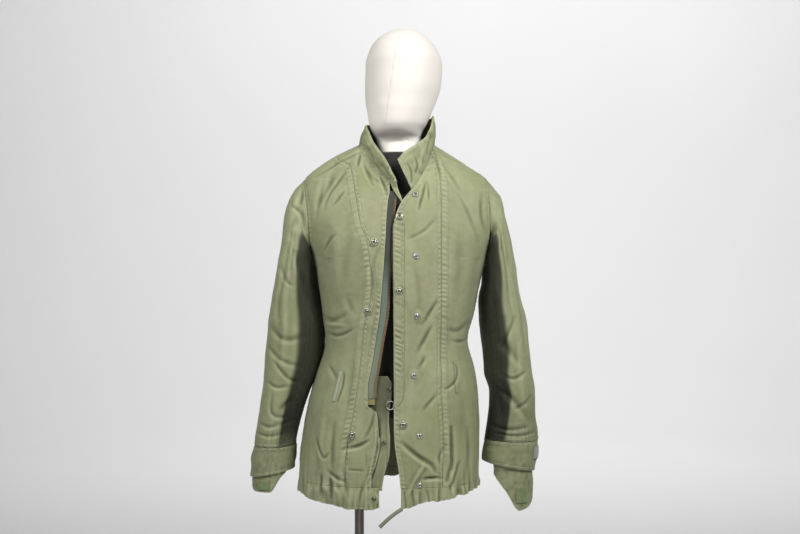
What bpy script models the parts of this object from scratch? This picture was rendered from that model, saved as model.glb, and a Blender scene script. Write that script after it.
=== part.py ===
"""Field jacket, open at the front, on a limbless dress form with one pole and a round base plate.

Metres, +Z up, front towards -Y. "right" and "left" are the wearer's. The pole stands on the origin.
"""

import math

import bpy
import numpy as np
from mathutils import Matrix

for old in list(bpy.data.objects):
    bpy.data.objects.remove(old, do_unlink=True)

# ---------------------------------------------------------------- named sizes

GARMENT_X = 0.083          # the garment's middle stands this far from the pole
CLOTH = 0.0015             # wall of a single cloth panel
DOUBLE_CLOTH = 0.0024      # collar, cuffs and hem casing
TAPE = 0.0012              # zip tape and hook-and-loop pads
GAP = 0.0003               # between pieces at a seam
LAY_GAP = 0.0006           # between a panel and what lies on it
ARM_GAP = 0.0014           # between the armhole and the sleeve head

ARMPIT = 1.315
SHOULDER_TIP = 1.475
NECK_TOP = 1.545
SHOULDER_SEAM = 84.0       # turn of the shoulder seam, in degrees from the front
HEM_SEAM = 0.870
ARMHOLE_STEPS = 8
SLEEVE_COLUMNS = 16

PLACKET_TOP = 1.385
PLACKET_FOOT = 1.025
ZIP_TOP = 1.445
ZIP_FOOT = 1.0415
TAPE_WIDTH = 0.0135

CAP_RADIUS = 0.0078
RING_RADIUS = 0.0055
STUD_RADIUS = 0.0045

PULL_RADIUS = 0.0080
PULL_WIRE = 0.0010
PULL_X = -0.0185
PULL_HEIGHT = 1.029
PULL_DEPTH = 0.0034        # how far the ring lies behind the front's outer face

CORD_WIDTH = 0.0075

POLE_RADIUS = 0.0095
BASE_RADIUS = 0.210
BASE_THICKNESS = 0.010
TORSO_FOOT = 1.000
NECK_FOOT = 1.527


def table(names, *rows):
    """Rows of numbers as dictionaries, by the names of their columns."""
    return [dict(zip(names.split(), row)) for row in rows]


BODY = table(
    "height right left front back fullness",
    (0.800, 0.2040, 0.1590, 0.128, 0.114, 2.30),
    (0.900, 0.2045, 0.1600, 0.129, 0.114, 2.30),
    (0.960, 0.1980, 0.1610, 0.127, 0.112, 2.30),
    (1.020, 0.1870, 0.1600, 0.124, 0.109, 2.25),
    (1.080, 0.1710, 0.1540, 0.121, 0.105, 2.20),
    (1.150, 0.1520, 0.1380, 0.119, 0.101, 2.15),
    (1.200, 0.1570, 0.1500, 0.121, 0.103, 2.15),
    (1.260, 0.1660, 0.1620, 0.125, 0.107, 2.20),
    (1.315, 0.1780, 0.1780, 0.126, 0.110, 2.25),
    (1.350, 0.1930, 0.1900, 0.124, 0.110, 2.30),
    (1.400, 0.2055, 0.1980, 0.116, 0.106, 2.30),
    (1.440, 0.2060, 0.1960, 0.104, 0.098, 2.30),
    (1.475, 0.1940, 0.1760, 0.089, 0.087, 2.25),
    (1.500, 0.1660, 0.1400, 0.078, 0.078, 2.20),
    (1.520, 0.1350, 0.1100, 0.069, 0.071, 2.10),
    (1.545, 0.0840, 0.0690, 0.058, 0.064, 2.00),
)

ARMHOLE = table(
    "height right left",
    (1.315, 0.178, 0.178),
    (1.395, 0.183, 0.179),
    (1.475, 0.194, 0.176),
)

FRONT_EDGE = table(
    "height right left",
    (0.8300, -0.0560, 0.0045),
    (0.8860, -0.0560, 0.0000),
    (0.9150, -0.0480, -0.0040),
    (0.9550, -0.0405, -0.0100),
    (0.9900, -0.0425, -0.0115),
    (1.0150, -0.0460, -0.0116),
    (1.0285, -0.0625, -0.0117),
    (1.0600, -0.0625, -0.0118),
    (1.1000, -0.0560, -0.0120),
    (1.1600, -0.0463, -0.0123),
    (1.2000, -0.0396, -0.0125),
    (1.2500, -0.0357, -0.0130),
    (1.3070, -0.0310, -0.0135),
    (1.3700, -0.0275, -0.0135),
    (1.3920, -0.0265, -0.0097),
    (1.4240, -0.0240, 0.0030),
    (1.4480, -0.0210, 0.0225),
    (1.4610, -0.0205, 0.0340),
    (1.4750, -0.0310, 0.0420),
    (1.4940, -0.0470, 0.0520),
    (1.5200, -0.0640, 0.0620),
    (1.5450, -0.0765, 0.0665),
)

PRINCESS_SEAM = table(
    "height right left",
    (0.8300, -0.1080, 0.0850),
    (0.8880, -0.1070, 0.0820),
    (0.9400, -0.1040, 0.0850),
    (1.0000, -0.0930, 0.0830),
    (1.0600, -0.0830, 0.0800),
    (1.1460, -0.0735, 0.0800),
    (1.1810, -0.0695, 0.0800),
    (1.2270, -0.0580, 0.0800),
    (1.2700, -0.0540, 0.0800),
    (1.3090, -0.0580, 0.0800),
    (1.3500, -0.0640, 0.0800),
    (1.3780, -0.0750, 0.0800),
    (1.4330, -0.0855, 0.0800),
    (1.4800, -0.0935, 0.0770),
    (1.5050, -0.1010, 0.0710),
    (1.5200, -0.1060, 0.0670),
)

HEM = table(
    "turn height",
    (-180.0, 0.850),
    (-90.0, 0.848),
    (-60.0, 0.838),
    (-35.0, 0.827),
    (-10.0, 0.832),
    (3.0, 0.830),
    (15.0, 0.838),
    (35.0, 0.845),
    (60.0, 0.852),
    (90.0, 0.858),
    (180.0, 0.850),
)

COLLAR_TOP = table(
    "place x y height",
    (0.00, -0.0060, -0.1120, 1.4630),
    (0.12, -0.0310, -0.1010, 1.5120),
    (0.20, -0.0550, -0.0660, 1.5490),
    (0.28, -0.0675, -0.0300, 1.5830),
    (0.36, -0.0670, 0.0120, 1.5880),
    (0.50, -0.0040, 0.0690, 1.6000),
    (0.64, 0.0640, 0.0200, 1.6030),
    (0.72, 0.0685, -0.0300, 1.6020),
    (0.80, 0.0535, -0.0660, 1.5580),
    (0.88, 0.0340, -0.0870, 1.5405),
    (0.94, 0.0090, -0.1000, 1.5230),
    (1.00, -0.0050, -0.1060, 1.5070),
)
COLLAR_BACK_START = 0.27   # place where the collar seam leaves the right neckline
COLLAR_BACK_END = 0.73
COLLAR_SEAM_RIGHT = 1.461  # height where the collar seam meets each front edge
COLLAR_SEAM_LEFT = 1.448
COLLAR_BULGE = 0.004

SLEEVE_NAMES = "place inner inner_height outer outer_height front back lean"
SLEEVE = {
    "right": table(
        SLEEVE_NAMES,
        (0.000, 0.1780, 1.315, 0.1940, 1.475, 0.058, 0.054, 0.00),
        (0.060, 0.1800, 1.306, 0.2140, 1.456, 0.062, 0.058, 0.02),
        (0.140, 0.1805, 1.290, 0.2326, 1.411, 0.067, 0.063, 0.06),
        (0.240, 0.1775, 1.262, 0.2407, 1.348, 0.068, 0.066, 0.10),
        (0.370, 0.1700, 1.225, 0.2530, 1.270, 0.066, 0.068, 0.15),
        (0.500, 0.1630, 1.180, 0.2670, 1.187, 0.064, 0.066, 0.16),
        (0.600, 0.1660, 1.130, 0.2730, 1.128, 0.062, 0.064, 0.16),
        (0.720, 0.1810, 1.065, 0.2770, 1.065, 0.060, 0.062, 0.14),
        (0.820, 0.1960, 1.012, 0.2845, 1.015, 0.058, 0.060, 0.12),
        (0.940, 0.2090, 0.960, 0.2930, 0.960, 0.056, 0.058, 0.10),
        (1.000, 0.2125, 0.937, 0.2960, 0.937, 0.055, 0.056, 0.10),
    ),
    "left": table(
        SLEEVE_NAMES,
        (0.000, 0.1780, 1.315, 0.1760, 1.475, 0.058, 0.054, 0.00),
        (0.060, 0.1800, 1.304, 0.2040, 1.4414, 0.062, 0.058, 0.02),
        (0.140, 0.1810, 1.287, 0.2160, 1.392, 0.067, 0.063, 0.06),
        (0.260, 0.1785, 1.258, 0.2305, 1.317, 0.067, 0.066, 0.10),
        (0.380, 0.1720, 1.222, 0.2448, 1.235, 0.065, 0.068, 0.15),
        (0.490, 0.1745, 1.180, 0.2570, 1.180, 0.063, 0.066, 0.18),
        (0.600, 0.1810, 1.125, 0.2625, 1.122, 0.061, 0.063, 0.18),
        (0.690, 0.1790, 1.080, 0.2680, 1.080, 0.060, 0.062, 0.16),
        (0.760, 0.1850, 1.045, 0.2735, 1.045, 0.059, 0.061, 0.14),
        (0.860, 0.1820, 1.000, 0.2745, 1.000, 0.058, 0.060, 0.12),
        (0.940, 0.1760, 0.965, 0.2800, 0.965, 0.057, 0.058, 0.10),
        (1.000, 0.1740, 0.948, 0.2815, 0.948, 0.056, 0.057, 0.10),
    ),
}

CUFF = {
    "right": table(
        SLEEVE_NAMES,
        (0.0, 0.2127, 0.9366, 0.2963, 0.9366, 0.054, 0.055, 0.10),
        (0.5, 0.2135, 0.9120, 0.3020, 0.9080, 0.052, 0.053, 0.10),
        (1.0, 0.2140, 0.8880, 0.3050, 0.8730, 0.050, 0.051, 0.10),
    ),
    "left": table(
        SLEEVE_NAMES,
        (0.0, 0.1735, 0.9476, 0.2805, 0.9476, 0.056, 0.057, 0.10),
        (0.5, 0.1695, 0.9250, 0.2790, 0.9180, 0.054, 0.055, 0.10),
        (1.0, 0.1690, 0.9030, 0.2750, 0.8850, 0.052, 0.053, 0.10),
    ),
}

HAND_FLAP = {
    "right": table(
        "round foot",
        (5.0, 0.864),
        (45.0, 0.846),
        (95.0, 0.845),
        (125.0, 0.872),
        (145.0, 0.884),
    ),
    "left": table(
        "round foot",
        (5.0, 0.842),
        (35.0, 0.822),
        (75.0, 0.809),
        (110.0, 0.850),
        (140.0, 0.880),
    ),
}
FLAP_ROOT = {"right": 0.900, "left": 0.912}
FLAP_PAD = {"right": (62.0, 94.0, 0.850, 0.868), "left": (54.0, 84.0, 0.824, 0.856)}
FLAP_DEPTH = 0.0048        # how far inside the cuff the flap hangs
CUFF_TAB = (8.0, 46.0, 0.20, 0.62)     # round the left cuff, and down it

UNDERLAP = table(
    "height x",
    (0.8715, -0.0350),
    (0.9000, -0.0290),
    (0.9300, -0.0212),
    (0.9600, -0.0193),
    (1.0000, -0.0215),
    (1.0300, -0.0190),
    (1.0500, -0.0150),
    (1.0670, -0.0150),
    (1.0850, -0.0240),
)
UNDERLAP_DEPTH = 0.0056

TAPE_TURN_IN = table(
    "height depth",
    (1.000, 0.0006),
    (1.120, 0.0010),
    (1.200, 0.0040),
    (1.260, 0.0080),
    (1.450, 0.0100),
)

PLACKET = table(
    "height x",
    (1.025, -0.0095),
    (1.032, -0.0020),
    (1.044, 0.0050),
    (1.070, 0.0075),
    (1.385, 0.0080),
)

CAPS = table(
    "side x height layer",
    ("right", -0.0502, 1.345, 0),
    ("right", -0.0618, 1.210, 0),
    ("right", -0.0926, 0.971, 0),
    ("left", -0.0005, 1.396, 0),
    ("left", -0.0019, 1.251, 1),
    ("left", 0.0058, 0.992, 0),
)
RINGS = table(
    "x height",
    (0.0300, 1.438),
    (0.0310, 1.318),
    (0.0330, 1.202),
    (0.0270, 1.087),
    (0.0376, 0.971),
    (0.0376, 0.876),
)
STUDS = table(
    "x height depth",
    (-0.0205, 1.0600, UNDERLAP_DEPTH),
    (-0.0310, 0.9570, UNDERLAP_DEPTH),
    (-0.0500, 0.8500, 0.0),
)

TORSO = table(
    "height right left front back fullness",
    (1.000, 0.118, 0.112, 0.085, 0.078, 2.2),
    (1.010, 0.126, 0.120, 0.091, 0.083, 2.2),
    (1.060, 0.130, 0.124, 0.095, 0.085, 2.2),
    (1.140, 0.120, 0.116, 0.095, 0.084, 2.2),
    (1.220, 0.134, 0.130, 0.100, 0.088, 2.2),
    (1.300, 0.150, 0.146, 0.104, 0.094, 2.2),
    (1.380, 0.160, 0.156, 0.098, 0.092, 2.2),
    (1.430, 0.162, 0.155, 0.086, 0.084, 2.2),
    (1.460, 0.155, 0.145, 0.076, 0.077, 2.2),
    (1.480, 0.140, 0.128, 0.069, 0.070, 2.1),
    (1.495, 0.118, 0.105, 0.063, 0.064, 2.1),
    (1.507, 0.090, 0.080, 0.058, 0.059, 2.0),
    (1.516, 0.064, 0.060, 0.054, 0.055, 2.0),
    (1.5267, 0.054, 0.054, 0.051, 0.053, 2.0),
)

HEAD = table(
    "height middle half set front back",
    (1.5270, 0.000, 0.0480, 0.000, 0.048, 0.050),
    (1.5480, 0.000, 0.0470, 0.000, 0.047, 0.047),
    (1.5570, -0.003, 0.0465, -0.002, 0.051, 0.045),
    (1.5640, -0.005, 0.0485, -0.006, 0.062, 0.048),
    (1.5720, -0.006, 0.0520, -0.010, 0.069, 0.052),
    (1.5846, -0.004, 0.0580, -0.015, 0.073, 0.056),
    (1.6090, -0.001, 0.0650, -0.018, 0.077, 0.060),
    (1.6336, 0.002, 0.0722, -0.010, 0.087, 0.080),
    (1.6660, 0.006, 0.0775, 0.000, 0.096, 0.090),
    (1.7070, 0.008, 0.0785, 0.004, 0.094, 0.094),
    (1.7400, 0.007, 0.0690, 0.004, 0.082, 0.083),
    (1.7600, 0.006, 0.0540, 0.004, 0.064, 0.064),
    (1.7740, 0.007, 0.0350, 0.004, 0.041, 0.041),
    (1.7805, 0.008, 0.0170, 0.004, 0.020, 0.020),
)
HEAD_TOP = 1.7825

# ---------------------------------------------------------------- reading the tables


def reading(rows, column, place, along="height"):
    """A table's column at a place between its rows, by a smooth curve that never overshoots."""
    at = np.array([row[along] for row in rows], float)
    value = np.array([row[column] for row in rows], float)
    step = np.diff(at)
    rise = np.diff(value) / step
    slope = np.zeros(len(at))
    slope[0] = rise[0]
    slope[-1] = rise[-1]
    same = rise[:-1] * rise[1:] > 0
    weight_a = 2 * step[1:] + step[:-1]
    weight_b = step[1:] + 2 * step[:-1]
    safe_a = np.where(same, rise[:-1], 1.0)
    safe_b = np.where(same, rise[1:], 1.0)
    harmonic = (weight_a + weight_b) / (weight_a / safe_a + weight_b / safe_b)
    slope[1:-1] = np.where(same, harmonic, 0.0)
    place = np.clip(np.asarray(place, float), at[0], at[-1])
    i = np.clip(np.searchsorted(at, place) - 1, 0, len(at) - 2)
    t = (place - at[i]) / step[i]
    a = (1 + 2 * t) * (1 - t) ** 2 * value[i]
    b = t * (1 - t) ** 2 * step[i] * slope[i]
    c = t * t * (3 - 2 * t) * value[i + 1]
    d = t * t * (t - 1) * step[i] * slope[i + 1]
    return a + b + c + d


# ---------------------------------------------------------------- the forms of body and sleeve


def ring_point(rows, turn, height):
    """A point of a body ring: turn 0 is the front, 90 the wearer's left, 180 the back."""
    angle = np.radians(turn)
    sine = np.sin(angle)
    cosine = np.cos(angle)
    half = np.where(sine > 0, reading(rows, "left", height), reading(rows, "right", height))
    deep = np.where(cosine > 0, reading(rows, "front", height), reading(rows, "back", height))
    power = reading(rows, "fullness", height)
    reach = (np.abs(sine / half) ** power + np.abs(cosine / deep) ** power) ** (-1 / power)
    return np.stack([reach * sine, -reach * cosine, height + 0 * reach], axis=-1)


def turn_at(x, height):
    """The turn on the front of the body where it passes a given x."""
    half = np.where(x > 0, reading(BODY, "left", height), reading(BODY, "right", height))
    power = reading(BODY, "fullness", height)
    share = np.clip(np.abs(x) / half, 0.0, 1.0)
    y = reading(BODY, "front", height) * (1 - share ** power) ** (1 / power)
    return np.degrees(np.arctan2(x, y))


def armhole_turn(side, height, back):
    """The turn of the armhole edge, in front or at the back, for one side."""
    sign = 1.0 if side == "left" else -1.0
    half = reading(BODY, side, height)
    power = reading(BODY, "fullness", height)
    share = np.clip(reading(ARMHOLE, side, height) / half, 0.0, 1.0)
    deep = reading(BODY, "back" if back else "front", height)
    y = deep * np.clip(1 - share ** power, 0.0, 1.0) ** (1 / power)
    turn = np.degrees(np.arctan2(share * half, y))
    return sign * (180.0 - turn if back else turn)


def outer_turn(side, height, back=False):
    """The turn of a panel's outer edge: side seam, then armhole, then shoulder seam."""
    sign = 1.0 if side == "left" else -1.0
    armhole = armhole_turn(side, height, back)
    turn = np.where(height > ARMPIT, armhole, sign * 90.0)
    return np.where(height > SHOULDER_TIP, sign * SHOULDER_SEAM, turn)


def seam_turn(side, height):
    """The turn of the princess seam; at its top it runs out into the shoulder seam or the neck."""
    sign = 1.0 if side == "left" else -1.0
    turn = turn_at(reading(PRINCESS_SEAM, side, height), height)
    if side == "right":
        ease = np.clip((height - 1.500) / 0.033, 0.0, 1.0)
        return turn + (sign * SHOULDER_SEAM - turn) * ease
    ease = np.clip((height - 1.505) / 0.028, 0.0, 1.0)
    return turn + (edge_turn(side, height) - turn) * ease


def edge_turn(side, height):
    """The turn of a front's free edge and, above it, of the neckline."""
    return turn_at(reading(FRONT_EDGE, side, height), height)


def gap_turn(height, gap=GAP / 2):
    """The turn that half a seam gap takes up at a height."""
    return np.degrees(gap / np.minimum(reading(BODY, "front", height), 0.1))


def armhole_point(side, around):
    """A point of the armhole: around 0 is the shoulder tip, 90 the front, 180 the armpit."""
    around = np.asarray(around, float) % 360.0
    middle = (ARMPIT + SHOULDER_TIP) / 2
    half = (SHOULDER_TIP - ARMPIT) / 2
    height = middle + half * np.cos(np.radians(around))
    front = armhole_turn(side, height, False)
    back = armhole_turn(side, height, True)
    return ring_point(BODY, np.where(around <= 180.0, front, back), height)


def sleeve_ring(rows, side, around, place):
    """A point of a sleeve ring: around 0 is its outer side, 90 the front, 180 the inner side."""
    sign = 1.0 if side == "left" else -1.0
    angle = np.radians(around)
    read = {name: reading(rows, name, place, "place") for name in SLEEVE_NAMES.split()[1:]}
    across = (read["outer"] - read["inner"]) / 2
    drop = (read["outer_height"] - read["inner_height"]) / 2
    middle_x = (read["outer"] + read["inner"]) / 2
    middle_z = (read["outer_height"] + read["inner_height"]) / 2
    sine = np.sin(angle)
    deep = np.where(sine > 0, read["front"], read["back"])
    skew = read["lean"] * deep
    across = np.sqrt(np.maximum(across ** 2 - skew ** 2, 0.0001)) * np.sign(across)
    y = -deep * sine
    x = middle_x + across * np.cos(angle) - read["lean"] * y
    return np.stack([sign * x, y, middle_z + drop * np.cos(angle)], axis=-1)


def sleeve_point(side, around, place):
    """A point of the sleeve, from the armhole at place 0 to the cuff seam at place 1."""
    sign = 1.0 if side == "left" else -1.0
    around, place = np.broadcast_arrays(np.asarray(around, float), np.asarray(place, float))
    hole = armhole_point(side, around)
    hole[..., 0] += sign * ARM_GAP
    ring = sleeve_ring(SLEEVE[side], side, around, np.maximum(place, 0.06))
    share = np.clip(place / 0.06, 0.0, 1.0)[..., None]
    return hole + (ring - hole) * share


def collar_seam(place):
    """The neckline that the collar is sewn to, from the right front edge round to the left."""
    place = np.asarray(place, float)
    share = np.clip(place / COLLAR_BACK_START, 0.0, 1.0)
    right_height = COLLAR_SEAM_RIGHT + (NECK_TOP - COLLAR_SEAM_RIGHT) * share
    share = np.clip((1.0 - place) / (1.0 - COLLAR_BACK_END), 0.0, 1.0)
    left_height = COLLAR_SEAM_LEFT + (NECK_TOP - COLLAR_SEAM_LEFT) * share
    right_end = float(edge_turn("right", NECK_TOP))
    left_end = float(edge_turn("left", NECK_TOP)) - 360.0
    share = (place - COLLAR_BACK_START) / (COLLAR_BACK_END - COLLAR_BACK_START)
    turn = right_end + (left_end - right_end) * np.clip(share, 0.0, 1.0)
    turn = np.where(place < COLLAR_BACK_START, edge_turn("right", right_height), turn)
    turn = np.where(place > COLLAR_BACK_END, edge_turn("left", left_height), turn)
    height = np.where(place < COLLAR_BACK_START, right_height, NECK_TOP)
    height = np.where(place > COLLAR_BACK_END, left_height, height)
    return ring_point(BODY, turn, height)


def collar_point(place, rise):
    """A point of the collar band: rise 0 is the neck seam, 1 the top edge."""
    place, rise = np.broadcast_arrays(np.asarray(place, float), np.asarray(rise, float))
    seam = collar_seam(place)
    names = ("x", "y", "height")
    top = np.stack([reading(COLLAR_TOP, name, place, "place") for name in names], axis=-1)
    along = top - seam
    length = np.linalg.norm(along, axis=-1, keepdims=True)
    foot = seam + along * (3 * LAY_GAP / length)
    point = foot + (top - foot) * rise[..., None]
    outward = point * np.array([1.0, 1.0, 0.0])
    outward /= np.maximum(np.linalg.norm(outward, axis=-1, keepdims=True), 0.001)
    return point + outward * (COLLAR_BULGE * np.sin(math.pi * rise))[..., None]


# ---------------------------------------------------------------- making walls and bodies

part_collection = bpy.data.collections.new("field_jacket")
bpy.context.scene.collection.children.link(part_collection)

COLOURS = {
    "sage_cloth": (0.30, 0.31, 0.18, 1.0),
    "shade_cloth": (0.25, 0.26, 0.15, 1.0),
    "zip_tape": (0.20, 0.24, 0.18, 1.0),
    "pad_green": (0.22, 0.30, 0.15, 1.0),
    "pad_grey": (0.30, 0.31, 0.29, 1.0),
    "snap_metal": (0.30, 0.31, 0.24, 1.0),
    "bright_metal": (0.60, 0.60, 0.58, 1.0),
    "brass": (0.50, 0.42, 0.15, 1.0),
    "cord_green": (0.24, 0.26, 0.19, 1.0),
    "cream_cover": (0.85, 0.82, 0.76, 1.0),
    "black_cover": (0.02, 0.02, 0.018, 1.0),
    "pole_metal": (0.32, 0.30, 0.27, 1.0),
    "base_metal": (0.30, 0.30, 0.30, 1.0),
}


def coloured(name, colour):
    """A named object's own plain material."""
    material = bpy.data.materials.new(name + "_material")
    material.use_nodes = True
    material.node_tree.nodes["Principled BSDF"].inputs["Base Color"].default_value = COLOURS[colour]
    return material


def add_node(name, points, faces, colour, smooth=False):
    """Add one closed body to the part, moved from the garment's middle to the pole's frame."""
    mesh = bpy.data.meshes.new(name)
    moved = np.asarray(points, float).reshape(-1, 3) + np.array([GARMENT_X, 0.0, 0.0])
    mesh.from_pydata(moved.tolist(), [], faces)
    mesh.validate()
    mesh.shade_smooth() if smooth else mesh.shade_flat()
    mesh.materials.append(coloured(name, colour))
    node = bpy.data.objects.new(name, mesh)
    part_collection.objects.link(node)
    return node


def steps(start, end, count):
    """Evenly spaced values from start to end, with both ends."""
    return np.linspace(start, end, count + 1)


def facing(surface, u, v, outward):
    """The outward unit normals of a surface on a grid of its two values."""
    small = 0.0005
    low_u = surface(np.maximum(u - small, 0.0), v)
    high_u = surface(np.minimum(u + small, 1.0), v)
    low_v = surface(u, np.maximum(v - small, 0.0))
    high_v = surface(u, np.minimum(v + small, 1.0))
    normal = np.cross(high_u - low_u, high_v - low_v)
    length = np.linalg.norm(normal, axis=-1, keepdims=True)
    return outward * normal / np.maximum(length, 1e-12)


def add_wall(name, surface, us, vs, thickness, colour, lift=0.0, outward=1.0, closed=False):
    """A cloth wall between a surface's outer face and the same face moved in by its thickness."""
    us = np.asarray(us, float)
    vs = np.asarray(vs, float)
    if closed:
        us = us[:-1]
    v_grid, u_grid = np.meshgrid(vs, us, indexing="ij")
    normal = facing(surface, u_grid, v_grid, outward)
    outer = surface(u_grid, v_grid) + normal * lift
    inner = outer - normal * thickness
    width = len(us)
    count = len(vs) * width
    columns = width if closed else width - 1
    faces = []
    for row in range(len(vs) - 1):
        for column in range(columns):
            a = row * width + column
            b = row * width + (column + 1) % width
            c = b + width
            d = a + width
            quad = (a, b, c, d)
            if outward < 0:
                quad = quad[::-1]
            faces.append(quad)
            faces.append(tuple(count + k for k in reversed(quad)))
    for row in (0, len(vs) - 1):
        for column in range(columns):
            a = row * width + column
            b = row * width + (column + 1) % width
            quad = (b, a, count + a, count + b)
            if (row > 0) != (outward < 0):
                quad = quad[::-1]
            faces.append(quad)
    if not closed:
        for column in (0, width - 1):
            for row in range(len(vs) - 1):
                a = row * width + column
                b = a + width
                quad = (a, b, count + b, count + a)
                if (column > 0) != (outward < 0):
                    quad = quad[::-1]
                faces.append(quad)
    points = np.concatenate([outer.reshape(-1, 3), inner.reshape(-1, 3)])
    return add_node(name, points, faces, colour)


def add_loft(name, rings, colour, top=None):
    """A closed smooth body through rings of points, from the lowest up, with flat or pointed ends."""
    width = rings.shape[1]
    points = rings.reshape(-1, 3).tolist()
    faces = [tuple(reversed(range(width)))]
    for row in range(len(rings) - 1):
        for column in range(width):
            a = row * width + column
            b = row * width + (column + 1) % width
            faces.append((a, b, b + width, a + width))
    last = (len(rings) - 1) * width
    if top is None:
        faces.append(tuple(last + k for k in range(width)))
    else:
        points.append(list(top))
        tip = len(points) - 1
        for column in range(width):
            faces.append((last + column, last + (column + 1) % width, tip))
    return add_node(name, points, faces, colour, smooth=True)


def add_turned(name, profile, colour, place, normal, turns=12):
    """A turned piece: the profile of radius and height runs down its outer side, then is spun."""
    mesh = bpy.data.meshes.new(name)
    edges = [(k, k + 1) for k in range(len(profile) - 1)]
    mesh.from_pydata([(radius, 0.0, height) for radius, height in profile], edges, [])
    mesh.materials.append(coloured(name, colour))
    node = bpy.data.objects.new(name, mesh)
    part_collection.objects.link(node)
    spin = node.modifiers.new("spin", "SCREW")
    spin.steps = turns
    spin.render_steps = turns
    spin.use_merge_vertices = True
    spin.merge_threshold = 0.00001
    spin.use_smooth_shade = True
    direction = np.asarray(normal, float)
    z_axis = direction / np.linalg.norm(direction)
    x_axis = np.cross([0.0, 0.0, 1.0], z_axis)
    x_axis = np.array([1.0, 0.0, 0.0]) if np.linalg.norm(x_axis) < 1e-6 else x_axis
    x_axis = x_axis / np.linalg.norm(x_axis)
    y_axis = np.cross(z_axis, x_axis)
    spot = np.asarray(place, float) + np.array([GARMENT_X, 0.0, 0.0])
    columns = np.stack([x_axis, y_axis, z_axis, spot], axis=1)
    node.matrix_world = Matrix([list(row) for row in columns] + [[0.0, 0.0, 0.0, 1.0]])
    return node


# ---------------------------------------------------------------- body panels

LOWER_ROWS = [0.905, 0.945, 0.985, 1.015, 1.0285, 1.060, 1.100, 1.135, 1.165, 1.200, 1.240, 1.280]
ARM_ROWS = [
    (ARMPIT + SHOULDER_TIP) / 2 - (SHOULDER_TIP - ARMPIT) / 2 * math.cos(math.pi * k / ARMHOLE_STEPS)
    for k in range(ARMHOLE_STEPS + 1)
]
SEAM_POINT = {"right": 1.530, "left": 1.528}      # where a panel cut off by its seam ends, nearly in a point
SHOULDER_ROWS = [1.490, 1.505, 1.520, 1.533, NECK_TOP]
BODY_ROWS = [HEM_SEAM + GAP] + LOWER_ROWS + ARM_ROWS + SHOULDER_ROWS


def panel(start, end, foot, top):
    """The surface between two seams, given by their turns: u across, v the share of the height."""

    def surface(u, v):
        height = foot + (top - foot) * v
        half_gap = gap_turn(height)
        first = start(height) + half_gap
        last = end(height) - half_gap
        return ring_point(BODY, first + (last - first) * u, height)

    return surface


def add_panel(name, start, end, columns, top):
    """One cloth panel of the body, on the rows that all panels share and its own top row."""
    rows = np.array([height for height in BODY_ROWS if height < top - 1e-6] + [top])
    foot = rows[0]
    surface = panel(start, end, foot, top)
    shares = (rows - foot) / (top - foot)
    return add_wall(name, surface, steps(0, 1, columns), shares, CLOTH, "sage_cloth")


def add_body_panels():
    """The centre fronts, side fronts and back."""
    add_panel(
        "front_right",
        lambda h: seam_turn("right", h),
        lambda h: edge_turn("right", h),
        4,
        NECK_TOP,
    )
    add_panel(
        "side_front_right",
        lambda h: outer_turn("right", h),
        lambda h: seam_turn("right", h),
        5,
        SEAM_POINT["right"],
    )
    add_panel(
        "front_left",
        lambda h: edge_turn("left", h),
        lambda h: seam_turn("left", h),
        4,
        SEAM_POINT["left"],
    )
    add_panel(
        "side_front_left",
        lambda h: seam_turn("left", h),
        lambda h: outer_turn("left", h),
        5,
        NECK_TOP,
    )
    add_panel(
        "back",
        lambda h: outer_turn("left", h, True),
        lambda h: 360.0 + outer_turn("right", h, True),
        14,
        NECK_TOP,
    )


def hem_surface(start, end):
    """The casing below the panels, with the hem's own uneven lower edge."""

    def surface(u, v):
        turn = start + (end - start) * u
        wrapped = (turn + 180.0) % 360.0 - 180.0
        foot = reading(HEM, "height", wrapped, "turn")
        return ring_point(BODY, turn, foot + (HEM_SEAM - foot) * v)

    return surface


def add_hem_casings():
    """The right, left and back lengths of the drawcord casing."""
    half_gap = float(gap_turn(HEM_SEAM))
    right_edge = float(turn_at(-0.0405, HEM_SEAM))
    left_edge = float(turn_at(0.0020, HEM_SEAM))
    spans = {
        "hem_casing_right": (-90.0 + half_gap, right_edge, 6),
        "hem_casing_left": (left_edge, 90.0 - half_gap, 6),
        "hem_casing_back": (90.0 + half_gap, 270.0 - half_gap, 14),
    }
    for name, (start, end, columns) in spans.items():
        surface = hem_surface(start, end)
        add_wall(name, surface, steps(0, 1, columns), steps(0, 1, 1), DOUBLE_CLOTH, "shade_cloth")


def add_collar():
    """The stand collar, one band round the neck."""
    right = steps(0.0, COLLAR_BACK_START, 7)
    back = steps(COLLAR_BACK_START, COLLAR_BACK_END, 10)[1:]
    left = steps(COLLAR_BACK_END, 1.0, 7)[1:]
    places = np.concatenate([right, back, left])
    add_wall(
        "collar",
        collar_point,
        places,
        steps(0, 1, 3),
        DOUBLE_CLOTH,
        "sage_cloth",
        outward=-1.0,
    )


# ---------------------------------------------------------------- sleeves and cuffs


def add_sleeves():
    """Upper and under sleeves, cuffs, hand flaps and their pads, on both sides."""
    step = 360.0 / SLEEVE_COLUMNS
    half_gap = 0.3
    places = [row["place"] for row in SLEEVE["right"]]
    extra = [0.03, 0.10, 0.19, 0.30, 0.435, 0.55, 0.66, 0.77, 0.88]
    rows = sorted(places + extra)
    for side in ("right", "left"):
        outward = -1.0 if side == "right" else 1.0
        spans = {
            "sleeve_upper_" + side: (-4 * step + half_gap, 6 * step - half_gap, 10),
            "sleeve_under_" + side: (6 * step + half_gap, 12 * step - half_gap, 6),
        }
        for name, (start, end, columns) in spans.items():
            def surface(u, v, start=start, end=end, side=side):
                return sleeve_point(side, start + (end - start) * u, v)
            colour = "sage_cloth" if "upper" in name else "shade_cloth"
            add_wall(name, surface, steps(0, 1, columns), rows, CLOTH, colour, outward=outward)
        add_cuff(side, outward)


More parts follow.
